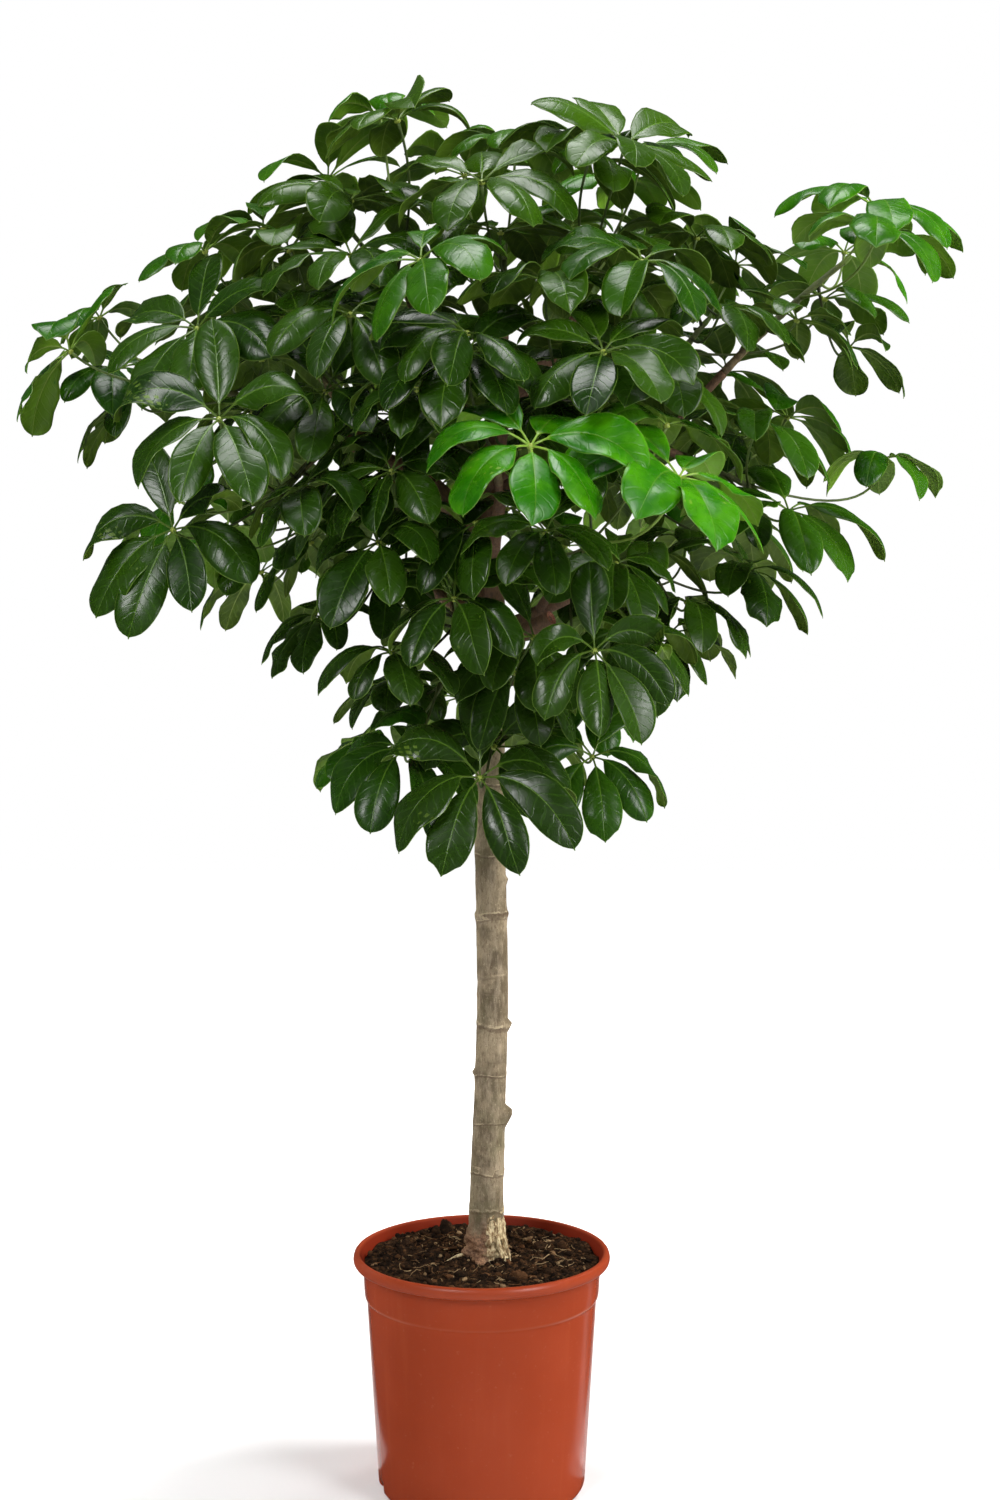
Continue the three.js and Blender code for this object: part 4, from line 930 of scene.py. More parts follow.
def twig_look():
    look = Look("twig_bark_green")
    along = look.value("along")
    mottle = look.noise(220.0, 4.0)
    lower = look.mix(look.between(mottle, 0.3, 0.7), (88, 70, 48), (128, 108, 78))
    upper = look.mix(look.between(mottle, 0.3, 0.7), (70, 82, 40), (96, 104, 56))
    colour = look.mix(look.between(along, 0.0, 0.7), lower, upper)
    spots = look.between(look.noise(700.0, 1.0), 0.66, 0.74)
    colour = look.tint(colour, spots, 0.5, (150, 138, 104))
    normal = look.bump(look.noise(600.0, 4.0), 0.5, 0.0006)
    look.shade(Base_Color=colour, Roughness=look.between(mottle, 0.2, 0.8, 0.55, 0.75), Normal=normal)
    return look.material


def bark_look():
    look = Look("bark")
    up = look.height()
    broad = look.noise(1.0, 4.0, 0.6, look.stretched(150.0, 150.0, 36.0))
    grain = look.noise(1.0, 5.0, 0.7, look.stretched(520.0, 520.0, 150.0))
    blotch = look.noise(26.0, 5.0, 0.65)
    speck = look.noise(620.0, 3.0)
    bark = look.mix(look.between(blotch, 0.4, 0.6), (98, 84, 62), (144, 128, 102))
    bark = look.mix(look.between(broad, 0.42, 0.66, 0.0, 0.55), bark, (158, 142, 118))
    green = look.between(look.noise(12.0, 4.0, 0.65), 0.48, 0.62, 0.0, 0.5)
    bark = look.mix(green, bark, (104, 98, 66))
    bark = look.mix(look.between(grain, 0.52, 0.66, 0.0, 0.7), bark, (86, 68, 48))
    bark = look.mix(look.between(grain, 0.45, 0.3, 0.0, 0.55), bark, (178, 162, 132))
    bark = look.mix(look.between(speck, 0.64, 0.72, 0.0, 0.6), bark, (74, 56, 40))
    bark = look.mix(look.between(speck, 0.36, 0.26, 0.0, 0.6), bark, (196, 182, 152))

    # Each scar is a thin pale line with a groove under it, whose dark line is painted shadow as well, and nodes
    # on the limbs are pale as well.
    waver = look.between(look.noise(260.0, 2.0), 0.2, 0.8, -0.7, 0.7)
    level = look.math("ADD", look.value("across"), waver)
    pale = look.between(look.math("ABSOLUTE", level), 1.0, 0.35)
    pale = look.times(pale, look.value("half"))
    patchy = look.between(look.noise(110.0, 3.0), 0.42, 0.58, 0.12, 1.0)
    pale = look.times(pale, patchy)
    dark = look.between(look.math("ABSOLUTE", look.math("ADD", level, 1.9)), 1.3, 0.4)
    dark = look.times(dark, look.times(look.value("half"), 0.6))
    # Painted shadow: a dark line under each scar.
    bark = look.mix(dark, bark, (82, 62, 44))
    bark = look.tint(bark, pale, 0.7, (196, 178, 144))
    bark = look.tint(bark, look.value("tone"), 0.6, (186, 166, 132))

    # It is redder and darker in the crown, and reddish, rough and peeling at the foot.
    crown = look.between(up, 0.8, 0.9)
    red = look.mix(look.between(grain, 0.3, 0.7), (74, 48, 34), (126, 90, 66))
    colour = look.tint(bark, crown, 0.85, red)
    rusty = look.times(look.between(up, 0.3, 0.256), look.between(broad, 0.4, 0.6))
    colour = look.tint(colour, rusty, 0.6, (120, 80, 56))
    lump = look.mix(look.between(speck, 0.35, 0.65), (86, 54, 36), (150, 112, 82))
    colour = look.tint(colour, look.value("along"), 0.9, lump)
    strands = look.noise(1.0, 4.0, 0.7, look.stretched(420.0, 420.0, 70.0))
    peel = look.mix(look.between(strands, 0.4, 0.6), (216, 198, 156), (120, 92, 58))
    torn = look.between(look.times(strands, 0.6, look.value("under")), 0.72, 0.86)
    colour = look.mix(torn, colour, peel)
    fresh_wood = look.mix(look.between(speck, 0.4, 0.6), (172, 112, 88), (120, 64, 50))
    colour = look.mix(look.value("fresh"), colour, fresh_wood)

    relief = look.times(pale, 0.8, look.times(dark, -0.8))
    relief = look.math("ADD", relief, look.times(torn, look.times(strands, 1.2), broad))
    normal = look.bump(relief, 0.6, 0.0014)
    normal = look.bump(grain, 0.6, 0.0009, normal)
    normal = look.bump(speck, 0.45, 0.0006, normal)
    look.shade(Base_Color=colour, Roughness=look.between(blotch, 0.2, 0.8, 0.62, 0.82), Normal=normal)
    return look.material


def pot_look():
    look = Look("terracotta_plastic")
    cloud = look.noise(7.0, 3.0)
    fine = look.noise(1400.0, 2.0)
    streak = look.noise(1.0, 3.0, 0.5, look.stretched(90.0, 90.0, 3.0))
    colour = look.mix(look.between(cloud, 0.3, 0.7), (144, 55, 27), (153, 61, 32))
    colour = look.mix(look.between(streak, 0.5, 0.8, 0.0, 0.14), colour, (178, 84, 46))
    dust = look.between(look.noise(240.0, 4.0), 0.62, 0.78, 0.0, 0.16)
    colour = look.mix(dust, colour, (196, 128, 98))
    # Painted shade: the inside wall below the rim is turned a dark red-brown.
    colour = look.mix(look.value("under"), colour, look.mix(dust, (100, 26, 12), (60, 34, 22)))
    # Painted highlight: the pale line over the ledge.
    colour = look.mix(look.value("tone"), colour, (216, 150, 120))
    rough = look.between(cloud, 0.3, 0.7, 0.15, 0.19)
    rough = look.times(streak, 0.06, rough)
    rough = look.times(look.value("under"), 0.35, rough)
    up = look.height()
    rough = look.times(look.between(up, 0.232, 0.238), 0.16, rough)
    shine = look.times(look.value("under"), -0.3, 0.35)
    normal = look.bump(fine, 0.12, 0.0002)
    normal = look.bump(look.noise(18.0, 2.0), 0.08, 0.004, normal)
    look.shade(Base_Color=colour, Roughness=rough, Normal=normal, Specular_IOR_Level=shine)
    return look.material


def soil_look():
    look = Look("potting_soil")
    clod = look.noise(160.0, 5.0, 0.65)
    fine = look.noise(900.0, 4.0)
    tone = look.value("tone")
    colour = look.ramp(clod, (0.34, (8, 4, 2)), (0.52, (37, 24, 13)), (0.68, (86, 59, 37)))
    colour = look.mix(look.between(fine, 0.6, 0.72, 0.0, 0.5), colour, (112, 82, 54))
    chip = look.ramp(tone, (0.0, (20, 12, 7)), (0.45, (50, 33, 20)), (0.75, (104, 70, 44)),
                     (1.0, (206, 176, 132)))
    chip = look.mix(look.between(fine, 0.3, 0.7, 0.0, 0.5), chip, colour)
    colour = look.mix(look.value("fresh"), colour, chip)
    normal = look.bump(clod, 0.9, 0.004)
    normal = look.bump(fine, 0.7, 0.001, normal)
    look.shade(Base_Color=colour, Roughness=look.between(fine, 0.3, 0.7, 0.78, 0.96), Normal=normal,
               Specular_IOR_Level=0.15)
    return look.material


# ---- Wood ----

# The scars that ring the bare stem: height, the way it tilts, its strength and its width.
RING_SCARS = [(291, 0.9, 0.55, 1.6), (329, 2.2, 0.9, 1.0), (335, 2.0, 0.5, 0.8), (383, 0.4, 0.7, 0.8),
              (433, 1.4, 0.8, 0.8), (487, 2.9, 0.9, 2.2), (541, 5.1, 0.35, 1.4), (600, 0.2, 0.6, 0.9),
              (606, 0.3, 1.0, 1.1), (668, 3.6, 0.6, 1.0), (742, 1.9, 0.7, 1.0), (808, 4.4, 0.8, 1.0),
              (866, 0.7, 0.8, 1.0), (930, 2.4, 0.8, 1.0), (985, 5.5, 0.8, 1.0), (1036, 1.1, 0.8, 1.0),
              (1090, 3.0, 0.8, 1.0), (1140, 4.7, 0.8, 1.0)]
# Thin pale roots, bare of bark, that fork from the peel into the soil.
PEELED_ROOTS = [
    [[15, -16, 266, 3.4], [19, -22, 253, 2.4], [20.5, -27, 243, 1.6], [19.5, -31, 236, 0.8]],
    [[19, -21, 254, 2], [24, -25, 246, 1.4], [26.5, -29, 239, 0.7]],
    [[23, -13, 262, 2.4], [27.5, -17, 250, 1.8], [31, -20, 239, 0.8]],
    [[-16, -14, 246, 2.6], [-23, -18, 246, 1.9], [-30, -21, 244, 1.4], [-37, -25, 242, 0.8]],
]
# Its knobs, where buds sat: height, angle from the right, size, rise above, slope below, width as an angle.
KNOBS = [(396, -0.15, 8.5, 6, 22, 0.5), (488, -0.1, 4.6, 5, 8, 0.36), (437, 3.3, 3.4, 4, 6, 0.36),
         (604, 0.1, 1.8, 4, 6, 0.4), (603, 3.0, 1.8, 4, 6, 0.4), (331, 0.3, 1.8, 4, 5, 0.4),
         (641, -0.3, 3.0, 5, 7, 0.36), (700, 2.4, 3.4, 5, 8, 0.36), (560, 1.2, 3.6, 5, 8, 0.36),
         (352, 4.2, 1.6, 4, 6, 0.4), (520, 2.8, 1.6, 4, 6, 0.3)]
STEM_ROWS, STEM_COLUMNS = 380, 56
LUMP_TURN, PEEL_TURN = -2.15, -0.8  # angles from the right of the brown lump and the cream peel at its foot


def lumps(points, scale, octaves=3):
    """Soft noise from -1 to 1 at each point."""
    values = [noise.fractal(Vector(p * scale), 0.9, 2.0, octaves) for p in points.reshape(-1, 3)]
    return np.array(values).reshape(points.shape[:-1])


def add_limb(grids, path, rows, columns, bumps=0.05, flare=0.0, tail=0.0, peeled=0.0):
    """A limb, root or spur of a path's points and radii."""
    line = smooth_path(path, rows)
    t = np.linspace(0, 1, rows)
    radius = line[:, 3] * (1 + flare * np.exp(-t / 0.08)) * (1 - tail * t**4)
    grid = sweep(line[:, :3], radius, columns)
    relief = lumps(grid, 0.05) * bumps + lumps(grid, 0.22, 2) * bumps * 0.5
    nodes = 0.05 * np.maximum(0, np.cos(t * length_of(line) / 7.5)) ** 6
    centre = line[:, None, :3]
    grid = centre + (grid - centre) * (1 + relief + nodes[:, None])[..., None]
    girth = 2 * math.pi * float(line[:, 3].mean())
    grids.add(grid, size=(girth, length_of(line)), tone=nodes[None, :, None] * 8, under=peeled)


def hump(x, rise, fall):
    """One at 0, and down to none over a rise above it and a slope below it."""
    return step_up(-fall, 0, x) * step_up(rise, 0, x)


def angle_from(turn, angles):
    """Angles as seen from a direction, from minus to plus half a turn."""
    return np.mod(angles - turn + math.pi, 2 * math.pi) - math.pi


def add_main_stem(grids):
    """The bare stem and its way through the crown, with its scars, its knobs and its rough foot."""
    rows, columns = STEM_ROWS, STEM_COLUMNS
    line = smooth_path(MAIN_STEM, rows)
    height = line[:, 2:3]
    angle = (2 * math.pi * np.arange(columns) / columns)[None]
    grid = sweep(line[:, :3], line[:, 3], columns)
    radius = np.ones((rows, columns))
    level, strength = np.full((rows, columns), 60.0), np.zeros((rows, columns))
    for scar_height, tilt, strong, wide in RING_SCARS:
        off = height - scar_height - 1.5 * np.cos(angle + tilt) - 0.7 * np.sin(3 * angle + tilt)
        radius += 0.036 * strong * np.exp(-((off / 4.0) ** 2))
        nearer = np.abs(off / wide) < np.abs(level)
        level, strength = np.where(nearer, off / wide, level), np.where(nearer, strong, strength)
    for knob_height, turn, size, rise, fall, wide in KNOBS:
        around = np.exp(-((angle_from(turn, angle) / wide) ** 2))
        radius += size / line[:, 3:4] * hump(height - knob_height, rise, fall) * around

    # The foot: a rough brown lump at its left front and a ragged cream peel at its right front.
    foot = np.exp(-np.abs(height - 243) / 16)
    from_lump, from_peel = angle_from(LUMP_TURN, angle), angle_from(PEEL_TURN, angle)
    ragged = lumps(grid, 0.16)
    lump = step_up(276, 264, height + 9 * ragged) * np.exp(-((from_lump / 0.85) ** 4))
    peel = step_up(292, 276, height + 14 * ragged) * np.exp(-(((from_peel + 0.25 * ragged) / 0.85) ** 4))
    radius += foot * (0.08 * np.sin(3 * angle + 0.6) + 0.05 * np.sin(7 * angle + 2))
    radius += lump * (0.24 + 0.26 * lumps(grid, 0.12, 2)) + peel * (0.05 + 0.1 * lumps(grid, 0.3, 2))
    radius += 0.024 * lumps(grid, 0.035) + 0.018 * lumps(grid, 0.12, 2) + foot * 0.1 * ragged
    centre = line[:, None, :3]
    grid = centre + (grid - centre) * radius[..., None]
    grids.add(grid, size=(110, length_of(line)), across=level[None],
              half=strength[None], under=peel[None], along=lump[None])


def add_cut_end(grids, path, radius):
    """The pruned end of a limb: a sawn face with a rim of bark and a sunken pith."""
    end, before = np.array(path[-1][:3], float), np.array(path[-2][:3], float)
    way = unit(end - before)
    rings = np.array([(1.0, -5.0), (1.06, -1.0), (0.98, 1.0), (0.86, 1.2), (0.8, 0.4), (0.45, 0.5),
                      (0.3, -0.2), (0.22, -1.5), (0.05, -1.8)])
    grid = sweep(end + way * (np.arange(len(rings)) * 0.001)[:, None], rings[:, 0] * radius, 24)
    grid = grid + way * rings[:, 1][:, None, None]
    grids.add(grid, size=(50, 12), flip=False,
              fresh=np.array([0, 0, 0.2, 0.5, 1, 1, 0.7, 0.3, 0.2])[None, :, None])


def wood(stems, bark):
    """The stem, its limbs, its roots, the pruned end and the spurs of the leafy stems, as one piece."""
    grids = Grids()
    add_main_stem(grids)
    for path in LIMBS.values():
        add_limb(grids, path, 36, 20, flare=0.5)
    for path in ROOTS:
        add_limb(grids, path, 20, 14, bumps=0.16, tail=0.6)
    for path in PEELED_ROOTS:
        add_limb(grids, path, 16, 8, bumps=0.12, tail=0.6, peeled=1.0)
    add_cut_end(grids, LIMBS["pruned_stub"], 8.2)
    for stem in stems:
        seat = stem["curve"](SPUR_SHARE)
        middle = stem["curve"](SPUR_SHARE / 2)
        path = [[*stem["curve"](0), SPUR_RADIUS * 1.25], [*middle, SPUR_RADIUS], [*seat, SPUR_RADIUS]]
        add_limb(grids, path, 12, 14)
    grids.object("woody_stem_bark", [bark], ["woody_stem"])


# ---- Pot and soil ----

BAND_RADIUS = POT_LEDGE_RADIUS + 4.2  # of the wide band under the rim
POT_COLUMNS = 176


def wall_radius(z):
    return POT_BASE_RADIUS + (POT_LEDGE_RADIUS - POT_BASE_RADIUS) * z / POT_LEDGE_HEIGHT


def band_of(radius, height, *offsets):
    """Points of the pot's profile, as offsets from a radius and a height that they belong to."""
    return [(radius + out, height + up) for out, up in offsets]


def pot(plastic):
    """The pot's shell, turned from one profile: from under its floor over the rim and back down inside."""
    rim, top, ledge, band = POT_RIM_RADIUS, POT_HEIGHT, POT_LEDGE_HEIGHT, BAND_RADIUS
    profile = [
        (0.5, 0), (60, 0), *band_of(POT_BASE_RADIUS, 0, (-7, 0), (-5.2, 0.3), (-3.2, 1.1), (-1.5, 2.6)),
        (wall_radius(4.4) - 0.4, 4.6),
        *((wall_radius(z), z) for z in (7, NOTCH_HEIGHT, NOTCH_HEIGHT + 0.05, 18)),
        *((wall_radius(z), z) for z in np.linspace(28, ledge - 4, 12)),
        *band_of(wall_radius(ledge), ledge, (-0.1, -0.9), (0.3, 0.2)),
        *band_of(POT_LEDGE_RADIUS, ledge, (1.2, 1.2), (2.0, 2.2), (2.4, 4.2), (2.8, 9), (3.2, 15)),
        *band_of(band, top, (-0.5, -22), (0, -14.2), (0.4, -12.9), (1.6, -12.1)),
        *band_of(rim, top, (-2.4, -11.7), (-1.2, -11.1), (-0.4, -9.9), (0, -8.4), (0.1, -6.8), (-0.2, -4.6),
                 (-0.9, -2.4), (-2.2, -0.8), (-3.8, -0.1), (-5.4, -0.4), (-6.8, -1.5), (-7.6, -3.2)),
        *band_of(band - POT_WALL, top, (1.2, -8), (0, -15)), (band - POT_WALL - 0.8, ledge + 20),
        (POT_LEDGE_RADIUS - POT_WALL, ledge + 1), (wall_radius(100) - POT_WALL, 100),
        (wall_radius(18) - POT_WALL, 18), (POT_BASE_RADIUS - 8, 7), (POT_BASE_RADIUS - 14, POT_FLOOR),
        (0.5, POT_FLOOR),
    ]
    profile = np.array(profile, float)

    # The notches in its foot have upright sides, so columns of points stand close on each side of these.
    half_notch = math.asin(NOTCH_WIDTH / 2 / POT_BASE_RADIUS)
    notches = FIRST_NOTCH + 2 * math.pi * np.arange(DRAIN_NOTCHES) / DRAIN_NOTCHES
    angles = list(np.linspace(0, 2 * math.pi, POT_COLUMNS, endpoint=False))
    for centre in notches:
        angles += [centre + sign * (half_notch + d) for sign in (-1, 1) for d in (-0.002, 0.002)]
    angles = np.unique(np.round(np.mod(angles, 2 * math.pi), 6))
    in_notch = np.abs(angle_from(notches[None], angles[:, None])).min(1) < half_notch
    radius = np.repeat(profile[:, :1], len(angles), 1)
    low = (profile[:, 1] <= NOTCH_HEIGHT) & (np.arange(len(profile)) < 12) & (profile[:, 0] > 90)
    depth = np.minimum(radius[low], POT_BASE_RADIUS - NOTCH_DEPTH - 0.2)
    radius[low] = np.where(in_notch, depth, radius[low])
    height = np.repeat(profile[:, 1:], len(angles), 1)
    grid = np.stack([radius * np.cos(angles), radius * np.sin(angles), height], -1)

    # Painted shade on the inside wall below the rim, and a painted highlight as a pale line over the ledge, which
    # shows most at the sides.
    inside = step_up(rim - 5, rim - 8, profile[:, 0]) * (np.arange(len(profile)) > np.argmax(profile[:, 0]))
    # A painted highlight: a pale line over the ledge, strongest at the left and right sides as seen from the
    # front.
    fold = np.exp(-(((profile[:, 1] - ledge - 1.6) / 0.7) ** 2)) * (profile[:, 0] > POT_LEDGE_RADIUS)
    sides = 0.1 + 0.6 * np.cos(angles) ** 4
    grids = Grids()
    grids.add(grid, size=(800, 620), under=0.85 * inside[None, :, None], tone=(fold[:, None] * sides)[None])
    grids.object("nursery_pot", [plastic], ["pot"])


def soil_top(x, y):
    """The lumpy top of the solid under the crumbs."""
    lump = 0.6 * np.sin(x * 0.11 + 1.3) * np.cos(y * 0.13) + 0.4 * np.sin(x * 0.05 - y * 0.07)
    return SOIL_HEIGHT + SOIL_LUMP * lump


SOIL_RADIUS = BAND_RADIUS - POT_WALL + 0.4
SOIL_SPOKES, SOIL_RINGS = 240, 100
CRUMBS, FIBRES = 1500, 300


def crumbly(points):
    """How far crumbs of peat raise the soil at each point."""
    raised = []
    for x, y in points:
        cell = noise.voronoi(Vector((x, y, 0)) * 0.16)[0]
        small = noise.voronoi(Vector((x, y, 40)) * 0.4)[0]
        rough = noise.fractal(Vector((x, y, 9)) * 0.06, 0.8, 2.0, 4)
        clod = noise.voronoi(Vector((x, y, 80)) * 0.075)[0]
        raised.append(
            3.4 * (clod[1] - clod[0]) + 2.4 * (cell[1] - cell[0]) + 1.2 * (small[1] - small[0]) + 3.4 * rough)
    return np.array(raised)


def surface_height(x, y):
    """The height of the soil's crumbly top, which is smooth where it meets the wall."""
    flat = np.stack([np.ravel(x), np.ravel(y)], 1)
    edge = step_up(SOIL_RADIUS, SOIL_RADIUS - 9, np.hypot(flat[:, 0], flat[:, 1]))
    return soil_top(flat[:, 0], flat[:, 1]) - 3.0 + crumbly(flat) * edge - 1.0 * (1 - edge)


# Lumps that lie on the soil: place, size, and tone from dark peat to pale bark.
SOIL_LUMPS = [((-42, 94), (8, 7, 11), 0.1), ((-52, 88), (5, 6, 6), 0.2), ((38, -76), (8, 6, 6), 0.7),
              ((70, -58), (6, 5, 4), 0.4), ((-60, -20), (6, 7, 5), 0.15), ((62, 30), (7, 5, 5), 0.3),
              ((-84, 30), (6, 5, 5), 0.25), ((14, 84), (7, 6, 6), 0.15), ((86, 20), (5, 6, 5), 0.5),
              ((-20, -70), (6, 8, 4), 0.1), ((-78, -40), (5, 5, 4), 0.35), ((52, 70), (6, 5, 6), 0.2)]


def ball_grid(rows, columns):
    """A ball of radius one as a grid."""
    levels = np.linspace(-0.5, 0.5, rows)[:, None] * math.pi
    turn = np.arange(columns)[None] * 2 * math.pi / columns
    across = np.maximum(np.cos(levels), 0.05)
    return np.stack([across * np.cos(turn), across * np.sin(turn), np.sin(levels) + 0 * turn], -1)


def scatter_crumbs(grids, rng):
    """Crumbs of peat and chips of bark that lie on the soil, more of them round the stem."""
    count = CRUMBS
    spread = np.sqrt(rng.random(count)) * (SOIL_RADIUS - 5)
    spread = np.where(rng.random(count) < 0.1, 26 + 12 * rng.random(count), spread)
    turn = rng.random(count) * 2 * math.pi
    x, y = spread * np.cos(turn), spread * np.sin(turn)
    z = surface_height(x, y)
    ball = ball_grid(6, 8)
    size = 0.8 + 2.6 * rng.random(count) ** 2.5
    stretch = np.stack(
        [1 + 0.9 * rng.random(count), 0.6 + 0.5 * rng.random(count), 0.5 + 0.4 * rng.random(count)], -1)
    dents = 1 + 0.35 * (rng.random((count, *ball.shape[:2], 1)) - 0.5)
    crumbs = ball[None] * dents * (size[:, None] * stretch)[:, None, None]
    spin = (rng.random(count) * math.pi)[:, None, None]
    tip = (0.9 * (rng.random(count) - 0.5))[:, None, None]
    px, py, pz = np.moveaxis(crumbs, -1, 0)
    px, pz = px * np.cos(tip) - pz * np.sin(tip), px * np.sin(tip) + pz * np.cos(tip)
    px, py = px * np.cos(spin) - py * np.sin(spin), px * np.sin(spin) + py * np.cos(spin)
    placed = np.stack([px, py, pz], -1) + np.stack([x, y, z + 0.3 * size], -1)[:, None, None]
    tone = 0.9 * rng.random(count) ** 2.6
    grids.add(placed, size=(6, 4), tone=tone[:, None, None], fresh=1.0)


def scatter_fibres(grids, rng):
    """Pale bent fibres that lie on the soil."""
    for _ in range(FIBRES):
        reach, turn = 8 + 104 * math.sqrt(rng.random()), rng.random() * 2 * math.pi
        start = np.array([reach * math.cos(turn) * 0.96, reach * math.sin(turn) * 0.96])
        heading, long = rng.random() * 2 * math.pi, 4 + 18 * rng.random() ** 2
        bow = (rng.random() - 0.5) * 1.6
        t = np.linspace(0, 1, 7)
        line = start + long * np.stack([t * np.cos(heading + bow * t), t * np.sin(heading + bow * t)], -1)
        line *= np.minimum(1, (SOIL_RADIUS - 4) / np.hypot(line[:, 0], line[:, 1]))[:, None]
        rise = surface_height(line[:, 0], line[:, 1])
        rise = np.maximum(rise, rise.mean()) + 0.5 + 1.6 * np.sin(math.pi * t) * rng.random()
        path = np.concatenate([line, rise[:, None]], 1)
        thin = 0.28 + 0.4 * rng.random() ** 2
        grids.add(sweep(path, thin * (1 - 0.5 * t), 5), size=(2, long), fresh=1.0,
                  tone=0.5 + 0.5 * rng.random())


def soil(earth):
    """The soil down to the pot's floor, with what lies on it."""
    grids = Grids()
    angle = 2 * math.pi * np.arange(SOIL_SPOKES) / SOIL_SPOKES
    radius = np.concatenate([[0.5], np.linspace(0, SOIL_RADIUS, SOIL_RINGS)[1:]])
    x, y = radius[:, None] * np.cos(angle), radius[:, None] * np.sin(angle)
    top = np.stack([x, y, surface_height(x, y).reshape(x.shape)], -1)
    below = [(BAND_RADIUS - POT_WALL - SOIL_CLEAR, POT_HEIGHT - 15),
             (POT_LEDGE_RADIUS - POT_WALL - SOIL_CLEAR, POT_LEDGE_HEIGHT + 1),
             (wall_radius(18) - POT_WALL - SOIL_CLEAR, 18),
             (POT_BASE_RADIUS - 14 - SOIL_CLEAR, POT_FLOOR + 0.3), (0.5, POT_FLOOR + 0.3)]
    sides = np.stack([np.stack([r * np.cos(angle), r * np.sin(angle), 0 * angle + z], -1) for r, z in below])
    grids.add(np.concatenate([top, sides]), size=(500, 400))
    rng = np.random.default_rng(77)
    scatter_crumbs(grids, rng)
    for (x, y), size, tone in SOIL_LUMPS:
        lump = ball_grid(14, 18) * np.array(size)
        spot = np.array([x, y, surface_height(x, y)[0] + 0.3 * size[2]])
        lump = lump * (1 + 0.3 * lumps(lump + spot, 0.14) + 0.16 * lumps(lump + spot, 0.5))[..., None] + spot
        grids.add(lump, size=(50, 30), tone=tone, fresh=0.75)
    scatter_fibres(grids, rng)
    grids.object("potting_soil", [earth], ["soil"])


# ---- The whole plant ----

stems = plan_tree()
add_inner_umbrellas(stems)
leaf_green, stalk_green, twig_bark = leaf_look(), stalk_look(), twig_look()
pot(pot_look())
soil(soil_look())
wood(stems, bark_look())
for stem in stems:
    grids = Grids()
    for leaf in stem["leaves"]:
        add_leaf(grids, leaf)
    add_twig(grids, stem)
    grids.object("leaves_" + stem["name"], [leaf_green, stalk_green, twig_bark],
                 ["leafy_stem_" + stem["name"]])

# ---- Floor, light and camera ----

ROOM_LIGHT = 0.05  # dim light from all round, behind a white backdrop
FLOOR_REACH = 9.0
# Softboxes: name, place, what each faces, size, power, and whether glossy surfaces mirror it.
SOFTBOXES = (
    ("key", (-1.4, -2.3, 2.5), (0, 0, 1.0), (0.9, 1.1), 48, True),
    ("fill", (1.9, -1.9, 1.7), (0, 0, 0.8), (0.8, 1.4), 48, True),
    ("top", (0.1, -0.2, 3.4), (0, 0, 1.0), (1.4, 1.4), 47, True),
    ("edge_left", (-1.7, 0.9, 0.9), (0, 0, 0.5), (0.5, 1.6), 24, False),
    ("edge_right", (1.6, 0.3, 1.6), (0.25, 0, 1.25), (0.5, 1.6), 52, False),
    ("back_left", (-2.0, 2.2, 2.2), (0, 0, 0.9), (1.0, 1.4), 26, False),
    ("back_right", (2.0, 2.2, 2.2), (0, 0, 0.9), (1.0, 1.4), 26, False),
)
# The pot's glossy sides mirror the bright floor beside and behind it, which low panels lying on the floor
# stand for: name, place, size, turn from straight back, and power.
FLOOR_PANELS = (
    ("floor_left", (-0.2, 0.34), (0.11, 0.66), 0.2, 0.17),
    ("floor_right", (0.2, 0.34), (0.11, 0.66), -0.2, 0.17),
    ("floor_beside", (0.36, 0.18), (0.07, 0.6), -0.86, 0.06),
)
PANEL_HEIGHT = 0.002
CAMERA_PLACE = (0.0194, -1.79, 0.779)
LENS = 40.3


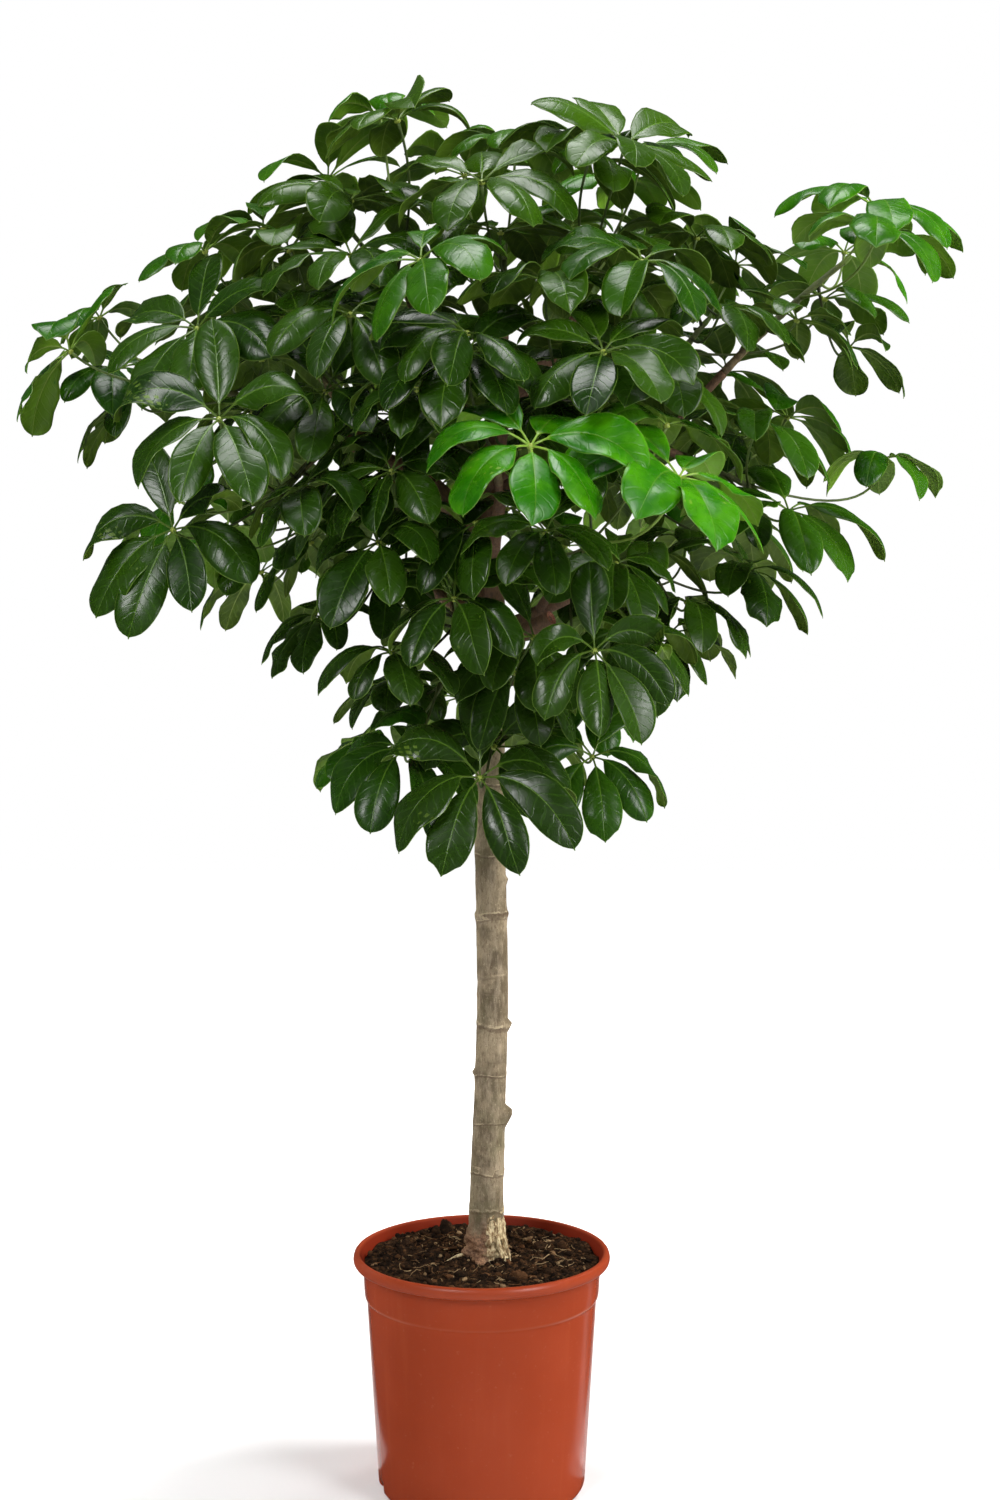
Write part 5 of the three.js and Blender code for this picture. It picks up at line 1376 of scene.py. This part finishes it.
def studio_floor():
    """A wide pale floor, which the camera sees fade into the white of the room."""
    mesh = bpy.data.meshes.new("studio_floor")
    corners = ((-1, -1), (1, -1), (1, 1), (-1, 1))
    mesh.from_pydata([(FLOOR_REACH * x, FLOOR_REACH * y, -0.0005) for x, y in corners], [], [(0, 1, 2, 3)])
    look = Look("studio_white")
    tint = look.mix(look.noise(2.0, 2.0), (0.93, 0.93, 0.93, 1), (0.95, 0.95, 0.95, 1))
    away = look.node("VectorMath", {0: look.stretched(1, 1, 0)}, output=1, operation="LENGTH")
    white = look.times(look.node("LightPath"), look.between(away, 0.35, 1.5))
    look.shade(Base_Color=tint, Roughness=0.9, Emission_Color=(1, 1, 1, 1), Emission_Strength=white)
    mesh.materials.append(look.material)
    floor = bpy.data.objects.new("studio_floor", mesh)
    floor.visible_glossy = False  # the room is dark but for its lights, so leaves don't mirror the floor
    bpy.context.scene.collection.objects.link(floor)


def area_light(name, spot, target, size, power):
    data = bpy.data.lights.new(name, "AREA")
    data.shape, data.size, data.size_y = "RECTANGLE", size[0], size[1]
    data.energy = power
    light = bpy.data.objects.new(name, data)
    light.location = spot
    light.rotation_euler = (Vector(target) - Vector(spot)).to_track_quat("-Z", "Y").to_euler()
    bpy.context.scene.collection.objects.link(light)
    return light


def studio_world():
    """White to the camera, and a dim light to everything else."""
    world = bpy.data.worlds.new("studio")
    world.use_nodes = True
    tree = world.node_tree
    background = tree.nodes["Background"]
    background.inputs["Color"].default_value = (1.0, 1.0, 1.0, 1)
    path, strength = tree.nodes.new("ShaderNodeLightPath"), tree.nodes.new("ShaderNodeMapRange")
    strength.inputs["To Min"].default_value, strength.inputs["To Max"].default_value = ROOM_LIGHT, 1.0
    tree.links.new(path.outputs["Is Camera Ray"], strength.inputs["Value"])
    tree.links.new(strength.outputs[0], background.inputs["Strength"])
    bpy.context.scene.world = world


studio_floor()
for name, spot, target, size, power, mirrored in SOFTBOXES:
    area_light(name, spot, target, size, power).visible_glossy = mirrored
for name, (x, y), size, turn, power in FLOOR_PANELS:
    panel = area_light(name, (x, y, PANEL_HEIGHT), (x, y, 1.0), size, power)
    panel.rotation_euler.z += turn
    panel.visible_camera = False
studio_world()
bpy.context.scene.view_settings.view_transform = "Standard"

camera_data = bpy.data.cameras.new("camera")
camera_data.lens = LENS
camera_data.sensor_width = 36.0
camera = bpy.data.objects.new("camera", camera_data)
camera.location = CAMERA_PLACE
camera.rotation_euler = (math.pi / 2, 0, 0)
bpy.context.scene.collection.objects.link(camera)
bpy.context.scene.camera = camera

bpy.context.view_layer.update()
